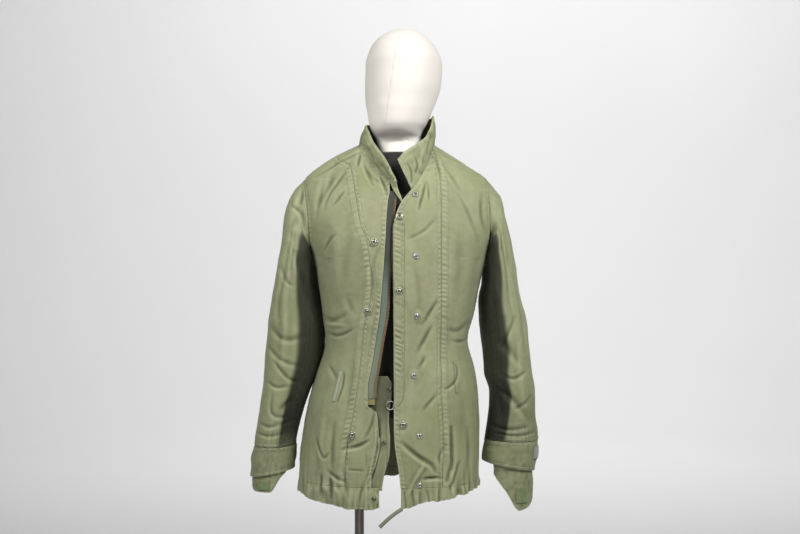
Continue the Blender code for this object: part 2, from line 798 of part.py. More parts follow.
def add_cuff(side, outward):
    """One cuff band, the hand flap inside it and the pads."""
    foot_rows = CUFF[side]

    def band(u, v):
        return sleeve_ring(foot_rows, side, 360.0 * u, v)

    shares = steps(0, 1, SLEEVE_COLUMNS)
    add_wall(
        "cuff_" + side,
        band,
        shares,
        steps(0.012, 1, 2),
        DOUBLE_CLOTH,
        "sage_cloth",
        outward=outward,
        closed=True,
    )
    rows = HAND_FLAP[side]
    first = rows[0]["round"]
    last = rows[-1]["round"]
    root = FLAP_ROOT[side]

    def flap_at(around, height):
        upper = sleeve_ring(foot_rows, side, around, 0.0)[..., 2]
        lower = sleeve_ring(foot_rows, side, around, 1.0)[..., 2]
        share = np.clip((upper - height) / (upper - lower), 0.0, 1.0)
        spot = sleeve_ring(foot_rows, side, around, share)
        spot[..., 2] = height
        return spot

    def flap(u, v):
        around = first + (last - first) * u
        foot = reading(rows, "foot", around, "round")
        return flap_at(around, root + (foot - root) * v)

    flap_depth = -FLAP_DEPTH
    add_wall(
        "hand_flap_" + side,
        flap,
        steps(0, 1, 7),
        steps(0, 1, 2),
        CLOTH,
        "sage_cloth",
        lift=flap_depth,
        outward=outward,
    )
    pad_start, pad_end, pad_foot, pad_top = FLAP_PAD[side]

    def pad(u, v):
        around = pad_start + (pad_end - pad_start) * u
        return flap_at(around, pad_top + (pad_foot - pad_top) * v)

    add_wall(
        "flap_pad_" + side,
        pad,
        steps(0, 1, 3),
        steps(0, 1, 1),
        TAPE,
        "pad_green",
        lift=flap_depth + LAY_GAP + TAPE,
        outward=outward,
    )
    if side == "left":
        tab_start, tab_end, tab_top, tab_foot = CUFF_TAB

        def tab(u, v):
            around = tab_start + (tab_end - tab_start) * u
            return sleeve_ring(foot_rows, side, around, tab_top + (tab_foot - tab_top) * v)

        add_wall(
            "cuff_tab_left",
            tab,
            steps(0, 1, 3),
            steps(0, 1, 1),
            TAPE,
            "pad_grey",
            lift=LAY_GAP + TAPE,
            outward=outward,
        )


# ---------------------------------------------------------------- fly, zip and pockets


def front_strip(left_x, right_x, foot, top, depth=None):
    """A strip on the fronts between two x lines; depth is how far it sinks, by share and height."""

    def surface(u, v):
        height = foot + (top - foot) * v
        start = turn_at(left_x(height), height)
        end = turn_at(right_x(height), height)
        spot = ring_point(BODY, start + (end - start) * u, height)
        if depth is not None:
            spot[..., 1] += depth(u, height)
        return spot

    return surface


def front_edge(side, offset=0.0):
    """The x of a front's free edge, as a function of the height."""
    return lambda height: reading(FRONT_EDGE, side, height) + offset


def add_placket():
    """The stitched fly strip along the left front's edge."""
    surface = front_strip(
        front_edge("left", GAP),
        lambda height: reading(PLACKET, "x", height),
        PLACKET_FOOT,
        PLACKET_TOP,
    )
    rows = (np.array([1.025, 1.032, 1.044, 1.07, 1.11, 1.15, 1.19, 1.23, 1.27, 1.31, 1.35, 1.385]))
    shares = (rows - PLACKET_FOOT) / (PLACKET_TOP - PLACKET_FOOT)
    lift = LAY_GAP + TAPE
    add_wall("placket", surface, steps(0, 1, 2), shares, TAPE, "sage_cloth", lift=lift)


def add_underlap():
    """The strip behind the right front's zip, with its small studs."""
    foot = UNDERLAP[0]["height"]
    top = UNDERLAP[-1]["height"]
    surface = front_strip(
        front_edge("right", -0.010),
        lambda height: reading(UNDERLAP, "x", height),
        foot,
        top,
        lambda u, height: UNDERLAP_DEPTH + 0 * u,
    )
    rows = np.array([row["height"] for row in UNDERLAP])
    shares = (rows - foot) / (top - foot)
    add_wall("underlap", surface, steps(0, 1, 3), shares, CLOTH, "shade_cloth")


def add_zip():
    """Both zip tapes, the box, the stop, the slider and its ring."""
    rows = np.array([1.0415, 1.06, 1.1, 1.135, 1.165, 1.2, 1.24, 1.28, 1.32, 1.36, 1.4, 1.445])
    shares = (rows - ZIP_FOOT) / (ZIP_TOP - ZIP_FOOT)
    sink = 0.0004

    def turned_in(u, height):
        return sink + u * reading(TAPE_TURN_IN, "depth", height)

    right = front_strip(
        front_edge("right", 2 * GAP),
        front_edge("right", 2 * GAP + TAPE_WIDTH),
        ZIP_FOOT,
        ZIP_TOP,
        turned_in,
    )
    add_wall("zip_tape_right", right, steps(0, 1, 2), shares, TAPE, "zip_tape")
    left = front_strip(
        front_edge("left", 0.004),
        front_edge("left", 0.004 + TAPE_WIDTH),
        ZIP_FOOT,
        1.400,
        lambda u, height: CLOTH + LAY_GAP + 0.001 + 0 * u,
    )
    rows = rows[:-1]
    shares = (rows - ZIP_FOOT) / (1.400 - ZIP_FOOT)
    add_wall("zip_tape_left", left, steps(0, 1, 2), shares, TAPE, "zip_tape")
    add_zip_hardware()


def add_box(name, centre, size, colour):
    """A small block from the cube primitive."""
    bpy.ops.mesh.primitive_cube_add(size=1.0, location=(0.0, 0.0, 0.0))
    node = bpy.context.object
    node.name = name
    node.data.name = name
    for vertex in node.data.vertices:
        for axis in range(3):
            vertex.co[axis] = vertex.co[axis] * size[axis] + centre[axis]
        vertex.co[0] += GARMENT_X
    node.data.materials.append(coloured(name, colour))
    for collection in list(node.users_collection):
        collection.objects.unlink(node)
    part_collection.objects.link(node)
    return node


def front_spot(x, height, lift):
    """A point on the front of the body and its outward direction."""
    turn = turn_at(np.float64(x), height)
    spot = ring_point(BODY, turn, height)
    across = ring_point(BODY, turn + 0.5, height) - ring_point(BODY, turn - 0.5, height)
    up = ring_point(BODY, turn, height + 0.002) - ring_point(BODY, turn, height - 0.002)
    normal = np.cross(across, up)
    normal = normal / np.linalg.norm(normal)
    return spot + normal * lift, normal


def add_zip_hardware():
    """Box and stop on the right tape; slider and ring at the foot of the left one."""
    box_x = float(reading(FRONT_EDGE, "right", 1.0355)) + 2 * GAP + TAPE_WIDTH / 2
    spot, _ = front_spot(box_x, 1.0355, 0.0)
    add_box("zip_box", (spot[0], spot[1] + 0.0016, 1.0355), (TAPE_WIDTH, 0.0024, 0.0105), "brass")
    stop_x = float(reading(FRONT_EDGE, "right", 1.4515)) + 0.010
    spot, _ = front_spot(stop_x, 1.4515, 0.0)
    add_box("zip_top_stop", (spot[0], spot[1] + 0.006, 1.4515), (0.0050, 0.0026, 0.0110), "bright_metal")
    spot, _ = front_spot(PULL_X, PULL_HEIGHT, 0.0)
    ring_y = spot[1] + PULL_DEPTH
    bpy.ops.mesh.primitive_torus_add(
        major_radius=PULL_RADIUS,
        minor_radius=PULL_WIRE,
        major_segments=24,
        minor_segments=8,
        location=(0.0, 0.0, 0.0),
    )
    ring = bpy.context.object
    ring.name = "zip_pull_ring"
    ring.data.name = "zip_pull_ring"
    for vertex in ring.data.vertices:
        x, y, z = vertex.co
        vertex.co = (x - PULL_RADIUS, -z, y)
    ring.location = (GARMENT_X + PULL_X + PULL_RADIUS, ring_y, PULL_HEIGHT)
    ring.data.materials.append(coloured("zip_pull_ring", "bright_metal"))
    ring.data.shade_smooth()
    for collection in list(ring.users_collection):
        collection.objects.unlink(ring)
    part_collection.objects.link(ring)
    hinge_x = PULL_X + PULL_RADIUS
    slider_points = [
        (hinge_x + 0.0016, -0.0014),
        (hinge_x + 0.0016, 0.0016),
        (hinge_x - 0.0018, 0.0016),
        (hinge_x - 0.0018, -0.0006),
        (hinge_x - 0.0030, -0.0006),
        (hinge_x - 0.0030, 0.0028),
        (hinge_x + 0.0026, 0.0028),
        (hinge_x + 0.0110, 0.0028),
        (hinge_x + 0.0110, -0.0014),
    ]
    heights = (PULL_HEIGHT - 0.0030, PULL_HEIGHT + 0.0030)
    points = [(x, ring_y + y, z) for z in heights for x, y in slider_points]
    count = len(slider_points)
    faces = [tuple(range(count)), tuple(reversed(range(count, 2 * count)))]
    for k in range(count):
        after = (k + 1) % count
        faces.append((after, k, count + k, count + after))
    add_node("zip_slider", points, faces, "bright_metal")


def add_pockets():
    """The slanted pocket mouths: a zip on the right side front, a closed welt on the left."""
    def right_line(height):
        return np.interp(height, [1.034, 1.092], [-0.1290, -0.1147])
    surface = front_strip(
        lambda h: right_line(h) - 0.003,
        lambda h: right_line(h) + 0.004,
        1.034,
        1.092,
    )
    lift = LAY_GAP + TAPE
    add_wall("pocket_zip_right", surface, steps(0, 1, 1), steps(0, 1, 4), TAPE, "zip_tape", lift=lift)

    def left_line(height):
        return np.interp(height, [1.050, 1.110], [0.1120, 0.1080])
    surface = front_strip(
        lambda h: left_line(h) - 0.003,
        lambda h: left_line(h) + 0.003,
        1.050,
        1.110,
    )
    add_wall("pocket_welt_left", surface, steps(0, 1, 1), steps(0, 1, 4), TAPE, "shade_cloth", lift=lift)


def cap_profile(radius):
    """A snap cap: flat rim, raised ring and a shallow middle."""
    return [
        (0.0, 0.0012),
        (radius * 0.30, 0.0013),
        (radius * 0.42, 0.0022),
        (radius * 0.80, 0.0022),
        (radius, 0.0010),
        (radius, 0.0002),
        (0.0, 0.0002),
    ]


def add_snaps():
    """Large caps, small sockets and studs, each set square on the cloth."""
    counts = {"right": 0, "left": 0}
    for cap in CAPS:
        counts[cap["side"]] += 1
        name = "snap_cap_%s_%d" % (cap["side"], counts[cap["side"]])
        lift = 0.0004 + cap["layer"] * (LAY_GAP + TAPE)
        spot, normal = front_spot(cap["x"], cap["height"], lift)
        add_turned(name, cap_profile(CAP_RADIUS), "snap_metal", spot, normal)
    for number, ring in enumerate(RINGS, start=1):
        spot, normal = front_spot(ring["x"], ring["height"], 0.0003)
        name = "snap_ring_left_%d" % number
        add_turned(name, cap_profile(RING_RADIUS), "bright_metal", spot, normal)
    for number, stud in enumerate(STUDS, start=1):
        spot, normal = front_spot(stud["x"], stud["height"], 0.0003)
        spot = spot + np.array([0.0, stud["depth"], 0.0])
        name = "snap_stud_right_%d" % number
        add_turned(name, cap_profile(STUD_RADIUS), "snap_metal", spot, normal)


def cord_route():
    """The free end of the hem cord, out of the left casing's front corner."""
    start = np.array([0.0015, -0.1265, 0.8245])
    end = np.array([-0.0390, -0.1330, 0.7965])
    bow = np.array([0.0, -0.002, 0.003])
    count = 5
    return [
        start + (end - start) * k / count + bow * math.sin(math.pi * k / count)
        for k in range(count + 1)
    ]


def add_drawcord():
    """A round braided cord with cut ends."""
    curve = bpy.data.curves.new("hem_drawcord", "CURVE")
    curve.dimensions = "3D"
    curve.bevel_depth = CORD_WIDTH / 2
    curve.bevel_resolution = 3
    curve.use_fill_caps = True
    line = curve.splines.new("POLY")
    route = cord_route()
    line.points.add(len(route) - 1)
    for point, place in zip(line.points, route):
        point.co = (place[0] + GARMENT_X, place[1], place[2], 1.0)
    curve.materials.append(coloured("hem_drawcord", "cord_green"))
    node = bpy.data.objects.new("hem_drawcord", curve)
    part_collection.objects.link(node)


# ---------------------------------------------------------------- the dress form


def add_form():
    """Torso, head with neck, pole and base plate."""
    turns = np.arange(24) * 15.0
    heights = [row["height"] for row in TORSO]
    rings = np.stack([ring_point(TORSO, turns, height) for height in heights])
    add_loft("form_torso", rings, "black_cover")
    angle = np.radians(turns)
    rings = []
    for row in HEAD:
        deep = np.where(np.cos(angle) > 0, row["front"], row["back"])
        x = row["middle"] + row["half"] * np.sin(angle)
        y = row["set"] - deep * np.cos(angle)
        rings.append(np.stack([x, y, row["height"] + 0 * x], axis=-1))
    add_loft("form_head", np.stack(rings), "cream_cover", top=(0.009, 0.004, HEAD_TOP))
    floor = -np.array([GARMENT_X, 0.0, 0.0])
    pole = [
        (0.0, TORSO_FOOT - GAP),
        (POLE_RADIUS, TORSO_FOOT - GAP),
        (POLE_RADIUS, BASE_THICKNESS + GAP),
        (0.0, BASE_THICKNESS + GAP),
    ]
    add_turned("form_pole", pole, "pole_metal", floor, (0.0, 0.0, 1.0), turns=32)
    base = [
        (0.0, BASE_THICKNESS),
        (BASE_RADIUS - 0.002, BASE_THICKNESS),
        (BASE_RADIUS, BASE_THICKNESS - 0.002),
        (BASE_RADIUS, 0.0),
        (0.0, 0.0),
    ]
    add_turned("form_base", base, "base_metal", floor, (0.0, 0.0, 1.0), turns=64)


add_body_panels()
add_hem_casings()
add_collar()
add_sleeves()
add_placket()
add_underlap()
add_zip()
add_pockets()
add_snaps()
add_drawcord()
add_form()
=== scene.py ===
"""Field jacket, worn open by a limbless dress form: its cloth, seams, folds, zip and light.

Metres, +Z up, front towards -Y. "right" and "left" are the wearer's. The pole stands on the origin.
"""

import math

import bpy
import numpy as np
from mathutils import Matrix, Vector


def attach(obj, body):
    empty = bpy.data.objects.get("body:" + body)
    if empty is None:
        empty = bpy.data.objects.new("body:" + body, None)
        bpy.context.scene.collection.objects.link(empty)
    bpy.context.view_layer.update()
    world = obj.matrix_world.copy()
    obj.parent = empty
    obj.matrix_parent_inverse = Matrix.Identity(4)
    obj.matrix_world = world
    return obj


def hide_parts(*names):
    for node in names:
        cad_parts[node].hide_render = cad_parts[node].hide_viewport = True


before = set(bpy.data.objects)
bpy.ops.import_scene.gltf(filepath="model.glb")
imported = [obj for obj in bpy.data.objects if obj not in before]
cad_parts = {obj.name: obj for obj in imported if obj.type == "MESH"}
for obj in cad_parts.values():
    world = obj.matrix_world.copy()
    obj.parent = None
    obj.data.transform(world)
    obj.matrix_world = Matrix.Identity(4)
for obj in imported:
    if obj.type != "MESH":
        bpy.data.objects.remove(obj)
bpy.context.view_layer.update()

GARMENT_X = 0.083          # the garment's middle stands this far from the pole
CLOTH = 0.0015             # wall of a single cloth panel
DOUBLE_CLOTH = 0.0024      # collar, cuffs and hem casing
TAPE = 0.0012              # zip tape and hook-and-loop pads
GAP = 0.0003               # between pieces at a seam
LAY_GAP = 0.0006           # between a panel and what lies on it
ARM_GAP = 0.0014           # between the armhole and the sleeve head

ARMPIT = 1.315
SHOULDER_TIP = 1.475
NECK_TOP = 1.545
SHOULDER_SEAM = 84.0       # turn of the shoulder seam, in degrees from the front
SEAM_BENDS = {"right": 1.500, "left": 1.505}     # where each princess seam bends aside at its top
SEAM_BEND_RISE = {"right": 0.033, "left": 0.028}
SEAM_POINT = {"right": 1.530, "left": 1.528}     # where a panel cut off by its seam ends, nearly in a point
HEM_SEAM = 0.870
SLEEVE_COLUMNS = 16

PLACKET_TOP = 1.385
PLACKET_FOOT = 1.025
ZIP_TOP = 1.445
ZIP_FOOT = 1.0415
ZIP_TOP_LEFT = 1.400       # the left tape is turned away above this
TAPE_WIDTH = 0.0135

CORD_WIDTH = 0.0075


def table(names, *rows):
    """Rows of numbers as dictionaries, by the names of their columns."""
    return [dict(zip(names.split(), row)) for row in rows]


BODY = table(
    "height right left front back fullness",
    (0.800, 0.2040, 0.1590, 0.128, 0.114, 2.30),
    (0.900, 0.2045, 0.1600, 0.129, 0.114, 2.30),
    (0.960, 0.1980, 0.1610, 0.127, 0.112, 2.30),
    (1.020, 0.1870, 0.1600, 0.124, 0.109, 2.25),
    (1.080, 0.1710, 0.1540, 0.121, 0.105, 2.20),
    (1.150, 0.1520, 0.1380, 0.119, 0.101, 2.15),
    (1.200, 0.1570, 0.1500, 0.121, 0.103, 2.15),
    (1.260, 0.1660, 0.1620, 0.125, 0.107, 2.20),
    (1.315, 0.1780, 0.1780, 0.126, 0.110, 2.25),
    (1.350, 0.1930, 0.1900, 0.124, 0.110, 2.30),
    (1.400, 0.2055, 0.1980, 0.116, 0.106, 2.30),
    (1.440, 0.2060, 0.1960, 0.104, 0.098, 2.30),
    (1.475, 0.1940, 0.1760, 0.089, 0.087, 2.25),
    (1.500, 0.1660, 0.1400, 0.078, 0.078, 2.20),
    (1.520, 0.1350, 0.1100, 0.069, 0.071, 2.10),
    (1.545, 0.0840, 0.0690, 0.058, 0.064, 2.00),
)

ARMHOLE = table(
    "height right left",
    (1.315, 0.178, 0.178),
    (1.395, 0.183, 0.179),
    (1.475, 0.194, 0.176),
)

FRONT_EDGE = table(
    "height right left",
    (0.8300, -0.0560, 0.0045),
    (0.8860, -0.0560, 0.0000),
    (0.9150, -0.0480, -0.0040),
    (0.9550, -0.0405, -0.0100),
    (0.9900, -0.0425, -0.0115),
    (1.0150, -0.0460, -0.0116),
    (1.0285, -0.0625, -0.0117),
    (1.0600, -0.0625, -0.0118),
    (1.1000, -0.0560, -0.0120),
    (1.1600, -0.0463, -0.0123),
    (1.2000, -0.0396, -0.0125),
    (1.2500, -0.0357, -0.0130),
    (1.3070, -0.0310, -0.0135),
    (1.3700, -0.0275, -0.0135),
    (1.3920, -0.0265, -0.0097),
    (1.4240, -0.0240, 0.0030),
    (1.4480, -0.0210, 0.0225),
    (1.4610, -0.0205, 0.0340),
    (1.4750, -0.0310, 0.0420),
    (1.4940, -0.0470, 0.0520),
    (1.5200, -0.0640, 0.0620),
    (1.5450, -0.0765, 0.0665),
)

PRINCESS_SEAM = table(
    "height right left",
    (0.8300, -0.1080, 0.0850),
    (0.8880, -0.1070, 0.0820),
    (0.9400, -0.1040, 0.0850),
    (1.0000, -0.0930, 0.0830),
    (1.0600, -0.0830, 0.0800),
    (1.1460, -0.0735, 0.0800),
    (1.1810, -0.0695, 0.0800),
    (1.2270, -0.0580, 0.0800),
    (1.2700, -0.0540, 0.0800),
    (1.3090, -0.0580, 0.0800),
    (1.3500, -0.0640, 0.0800),
    (1.3780, -0.0750, 0.0800),
    (1.4330, -0.0855, 0.0800),
    (1.4800, -0.0935, 0.0770),
    (1.5050, -0.1010, 0.0710),
    (1.5200, -0.1060, 0.0670),
)

HEM = table(
    "turn height",
    (-180.0, 0.850),
    (-90.0, 0.848),
    (-60.0, 0.838),
    (-35.0, 0.827),
    (-10.0, 0.832),
    (3.0, 0.830),
    (15.0, 0.838),
    (35.0, 0.845),
    (60.0, 0.852),
    (90.0, 0.858),
    (180.0, 0.850),
)

COLLAR_TOP = table(
    "place x y height",
    (0.00, -0.0060, -0.1120, 1.4630),
    (0.12, -0.0310, -0.1010, 1.5120),
    (0.20, -0.0550, -0.0660, 1.5490),
    (0.28, -0.0675, -0.0300, 1.5830),
    (0.36, -0.0670, 0.0120, 1.5880),
    (0.50, -0.0040, 0.0690, 1.6000),
    (0.64, 0.0640, 0.0200, 1.6030),
    (0.72, 0.0685, -0.0300, 1.6020),
    (0.80, 0.0535, -0.0660, 1.5580),
    (0.88, 0.0340, -0.0870, 1.5405),
    (0.94, 0.0090, -0.1000, 1.5230),
    (1.00, -0.0050, -0.1060, 1.5070),
)
COLLAR_BACK_START = 0.27   # place where the collar seam leaves the right neckline
COLLAR_BACK_END = 0.73
COLLAR_SEAM_RIGHT = 1.461  # height where the collar seam meets each front edge
COLLAR_SEAM_LEFT = 1.448
COLLAR_BULGE = 0.004

SLEEVE_NAMES = "place inner inner_height outer outer_height front back lean"
SLEEVE = {
    "right": table(
        SLEEVE_NAMES,
        (0.000, 0.1780, 1.315, 0.1940, 1.475, 0.058, 0.054, 0.00),
        (0.060, 0.1800, 1.306, 0.2140, 1.456, 0.062, 0.058, 0.02),
        (0.140, 0.1805, 1.290, 0.2326, 1.411, 0.067, 0.063, 0.06),
        (0.240, 0.1775, 1.262, 0.2407, 1.348, 0.068, 0.066, 0.10),
        (0.370, 0.1700, 1.225, 0.2530, 1.270, 0.066, 0.068, 0.15),
        (0.500, 0.1630, 1.180, 0.2670, 1.187, 0.064, 0.066, 0.16),
        (0.600, 0.1660, 1.130, 0.2730, 1.128, 0.062, 0.064, 0.16),
        (0.720, 0.1810, 1.065, 0.2770, 1.065, 0.060, 0.062, 0.14),
        (0.820, 0.1960, 1.012, 0.2845, 1.015, 0.058, 0.060, 0.12),
        (0.940, 0.2090, 0.960, 0.2930, 0.960, 0.056, 0.058, 0.10),
        (1.000, 0.2125, 0.937, 0.2960, 0.937, 0.055, 0.056, 0.10),
    ),
    "left": table(
        SLEEVE_NAMES,
        (0.000, 0.1780, 1.315, 0.1760, 1.475, 0.058, 0.054, 0.00),
        (0.060, 0.1800, 1.304, 0.2040, 1.4414, 0.062, 0.058, 0.02),
        (0.140, 0.1810, 1.287, 0.2160, 1.392, 0.067, 0.063, 0.06),
        (0.260, 0.1785, 1.258, 0.2305, 1.317, 0.067, 0.066, 0.10),
        (0.380, 0.1720, 1.222, 0.2448, 1.235, 0.065, 0.068, 0.15),
        (0.490, 0.1745, 1.180, 0.2570, 1.180, 0.063, 0.066, 0.18),
        (0.600, 0.1810, 1.125, 0.2625, 1.122, 0.061, 0.063, 0.18),
        (0.690, 0.1790, 1.080, 0.2680, 1.080, 0.060, 0.062, 0.16),
        (0.760, 0.1850, 1.045, 0.2735, 1.045, 0.059, 0.061, 0.14),
        (0.860, 0.1820, 1.000, 0.2745, 1.000, 0.058, 0.060, 0.12),
        (0.940, 0.1760, 0.965, 0.2800, 0.965, 0.057, 0.058, 0.10),
        (1.000, 0.1740, 0.948, 0.2815, 0.948, 0.056, 0.057, 0.10),
    ),
}

CUFF = {
    "right": table(
        SLEEVE_NAMES,
        (0.0, 0.2127, 0.9366, 0.2963, 0.9366, 0.054, 0.055, 0.10),
        (0.5, 0.2135, 0.9120, 0.3020, 0.9080, 0.052, 0.053, 0.10),
        (1.0, 0.2140, 0.8880, 0.3050, 0.8730, 0.050, 0.051, 0.10),
    ),
    "left": table(
        SLEEVE_NAMES,
        (0.0, 0.1735, 0.9476, 0.2805, 0.9476, 0.056, 0.057, 0.10),
        (0.5, 0.1695, 0.9250, 0.2790, 0.9180, 0.054, 0.055, 0.10),
        (1.0, 0.1690, 0.9030, 0.2750, 0.8850, 0.052, 0.053, 0.10),
    ),
}

HAND_FLAP = {
    "right": table(
        "round foot",
        (5.0, 0.864),
        (45.0, 0.846),
        (95.0, 0.845),
        (125.0, 0.872),
        (145.0, 0.884),
    ),
    "left": table(
        "round foot",
        (5.0, 0.842),
        (35.0, 0.822),
        (75.0, 0.809),
        (110.0, 0.850),
        (140.0, 0.880),
    ),
}
FLAP_ROOT = {"right": 0.900, "left": 0.912}
FLAP_PAD = {"right": (62.0, 94.0, 0.850, 0.868), "left": (54.0, 84.0, 0.824, 0.856)}
FLAP_DEPTH = 0.0048        # how far inside the cuff the flap hangs
CUFF_TAB = (8.0, 46.0, 0.20, 0.62)     # round the left cuff, and down it

UNDERLAP = table(
    "height x",
    (0.8715, -0.0350),
    (0.9000, -0.0290),
    (0.9300, -0.0212),
    (0.9600, -0.0193),
    (1.0000, -0.0215),
    (1.0300, -0.0190),
    (1.0500, -0.0150),
    (1.0670, -0.0150),
    (1.0850, -0.0240),
)
UNDERLAP_DEPTH = 0.0056
UNDERLAP_FOOT = HEM_SEAM - 0.006       # it ends behind the hem casing

TAPE_TURN_IN = table(
    "height depth",
    (1.000, 0.0006),
    (1.120, 0.0010),
    (1.200, 0.0040),
    (1.260, 0.0080),
    (1.450, 0.0100),
)

PLACKET = table(
    "height x",
    (1.025, -0.0095),
    (1.032, -0.0020),
    (1.044, 0.0050),
    (1.070, 0.0075),
    (1.385, 0.0080),
)

TORSO = table(
    "height right left front back fullness",
    (1.000, 0.118, 0.112, 0.085, 0.078, 2.2),
    (1.010, 0.126, 0.120, 0.091, 0.083, 2.2),
    (1.060, 0.130, 0.124, 0.095, 0.085, 2.2),
    (1.140, 0.120, 0.116, 0.095, 0.084, 2.2),
    (1.220, 0.134, 0.130, 0.100, 0.088, 2.2),
    (1.300, 0.150, 0.146, 0.104, 0.094, 2.2),
    (1.380, 0.160, 0.156, 0.098, 0.092, 2.2),
    (1.430, 0.162, 0.155, 0.086, 0.084, 2.2),
    (1.460, 0.155, 0.145, 0.076, 0.077, 2.2),
    (1.480, 0.140, 0.128, 0.069, 0.070, 2.1),
    (1.495, 0.118, 0.105, 0.063, 0.064, 2.1),
    (1.507, 0.090, 0.080, 0.058, 0.059, 2.0),
    (1.516, 0.064, 0.060, 0.054, 0.055, 2.0),
    (1.5267, 0.054, 0.054, 0.051, 0.053, 2.0),
)

HEAD = table(
    "height middle half set front back",
    (1.5270, 0.000, 0.0480, 0.000, 0.048, 0.050),
    (1.5480, 0.000, 0.0470, 0.000, 0.047, 0.047),
    (1.5570, -0.003, 0.0465, -0.002, 0.051, 0.045),
    (1.5640, -0.005, 0.0485, -0.006, 0.062, 0.048),
    (1.5720, -0.006, 0.0520, -0.010, 0.069, 0.052),
    (1.5846, -0.004, 0.0580, -0.015, 0.073, 0.056),
    (1.6090, -0.001, 0.0650, -0.018, 0.077, 0.060),
    (1.6336, 0.002, 0.0722, -0.010, 0.087, 0.080),
    (1.6660, 0.006, 0.0775, 0.000, 0.096, 0.090),
    (1.7070, 0.008, 0.0785, 0.004, 0.094, 0.094),
    (1.7400, 0.007, 0.0690, 0.004, 0.082, 0.083),
    (1.7600, 0.006, 0.0540, 0.004, 0.064, 0.064),
    (1.7740, 0.007, 0.0350, 0.004, 0.041, 0.041),
    (1.7805, 0.008, 0.0170, 0.004, 0.020, 0.020),
)
HEAD_TOP = 1.7825

# ---------------------------------------------------------------- reading the tables


def reading(rows, column, place, along="height"):
    """A table's column at a place between its rows, by a smooth curve that never overshoots."""
    at = np.array([row[along] for row in rows], float)
    value = np.array([row[column] for row in rows], float)
    step = np.diff(at)
    rise = np.diff(value) / step
    slope = np.zeros(len(at))
    slope[0] = rise[0]
    slope[-1] = rise[-1]
    same = rise[:-1] * rise[1:] > 0
    weight_a = 2 * step[1:] + step[:-1]
    weight_b = step[1:] + 2 * step[:-1]
    safe_a = np.where(same, rise[:-1], 1.0)
    safe_b = np.where(same, rise[1:], 1.0)
    harmonic = (weight_a + weight_b) / (weight_a / safe_a + weight_b / safe_b)
    slope[1:-1] = np.where(same, harmonic, 0.0)
    place = np.clip(np.asarray(place, float), at[0], at[-1])
    i = np.clip(np.searchsorted(at, place) - 1, 0, len(at) - 2)
    t = (place - at[i]) / step[i]
    a = (1 + 2 * t) * (1 - t) ** 2 * value[i]
    b = t * (1 - t) ** 2 * step[i] * slope[i]
    c = t * t * (3 - 2 * t) * value[i + 1]
    d = t * t * (t - 1) * step[i] * slope[i + 1]
    return a + b + c + d


# ---------------------------------------------------------------- the forms of body and sleeve


def ring_point(rows, turn, height):
    """A point of a body ring: turn 0 is the front, 90 the wearer's left, 180 the back."""
    angle = np.radians(turn)
    sine = np.sin(angle)
    cosine = np.cos(angle)
    half = np.where(sine > 0, reading(rows, "left", height), reading(rows, "right", height))
    deep = np.where(cosine > 0, reading(rows, "front", height), reading(rows, "back", height))
    power = reading(rows, "fullness", height)
    reach = (np.abs(sine / half) ** power + np.abs(cosine / deep) ** power) ** (-1 / power)
    return np.stack([reach * sine, -reach * cosine, height + 0 * reach], axis=-1)


def turn_at(x, height):
    """The turn on the front of the body where it passes a given x."""
    half = np.where(x > 0, reading(BODY, "left", height), reading(BODY, "right", height))
    power = reading(BODY, "fullness", height)
    share = np.clip(np.abs(x) / half, 0.0, 1.0)
    y = reading(BODY, "front", height) * (1 - share ** power) ** (1 / power)
    return np.degrees(np.arctan2(x, y))


def armhole_turn(side, height, back):
    """The turn of the armhole edge, in front or at the back, for one side."""
    sign = 1.0 if side == "left" else -1.0
    half = reading(BODY, side, height)
    power = reading(BODY, "fullness", height)
    share = np.clip(reading(ARMHOLE, side, height) / half, 0.0, 1.0)
    deep = reading(BODY, "back" if back else "front", height)
    y = deep * np.clip(1 - share ** power, 0.0, 1.0) ** (1 / power)
    turn = np.degrees(np.arctan2(share * half, y))
    return sign * (180.0 - turn if back else turn)


def outer_turn(side, height, back=False):
    """The turn of a panel's outer edge: side seam, then armhole, then shoulder seam."""
    sign = 1.0 if side == "left" else -1.0
    armhole = armhole_turn(side, height, back)
    turn = np.where(height > ARMPIT, armhole, sign * 90.0)
    return np.where(height > SHOULDER_TIP, sign * SHOULDER_SEAM, turn)


def seam_turn(side, height):
    """The turn of the princess seam; at its top it runs out into the shoulder seam or the neck."""
    turn = turn_at(reading(PRINCESS_SEAM, side, height), height)
    ease = np.clip((height - SEAM_BENDS[side]) / SEAM_BEND_RISE[side], 0.0, 1.0)
    end = -SHOULDER_SEAM if side == "right" else edge_turn(side, height)
    return turn + (end - turn) * ease


def edge_turn(side, height):
    """The turn of a front's free edge and, above it, of the neckline."""
    return turn_at(reading(FRONT_EDGE, side, height), height)


def gap_turn(height, gap=GAP / 2):
    """The turn that half a seam gap takes up at a height."""
    return np.degrees(gap / np.minimum(reading(BODY, "front", height), 0.1))


def armhole_point(side, around):
    """A point of the armhole: around 0 is the shoulder tip, 90 the front, 180 the armpit."""
    around = np.asarray(around, float) % 360.0
    middle = (ARMPIT + SHOULDER_TIP) / 2
    half = (SHOULDER_TIP - ARMPIT) / 2
    height = middle + half * np.cos(np.radians(around))
    front = armhole_turn(side, height, False)
    back = armhole_turn(side, height, True)
    return ring_point(BODY, np.where(around <= 180.0, front, back), height)


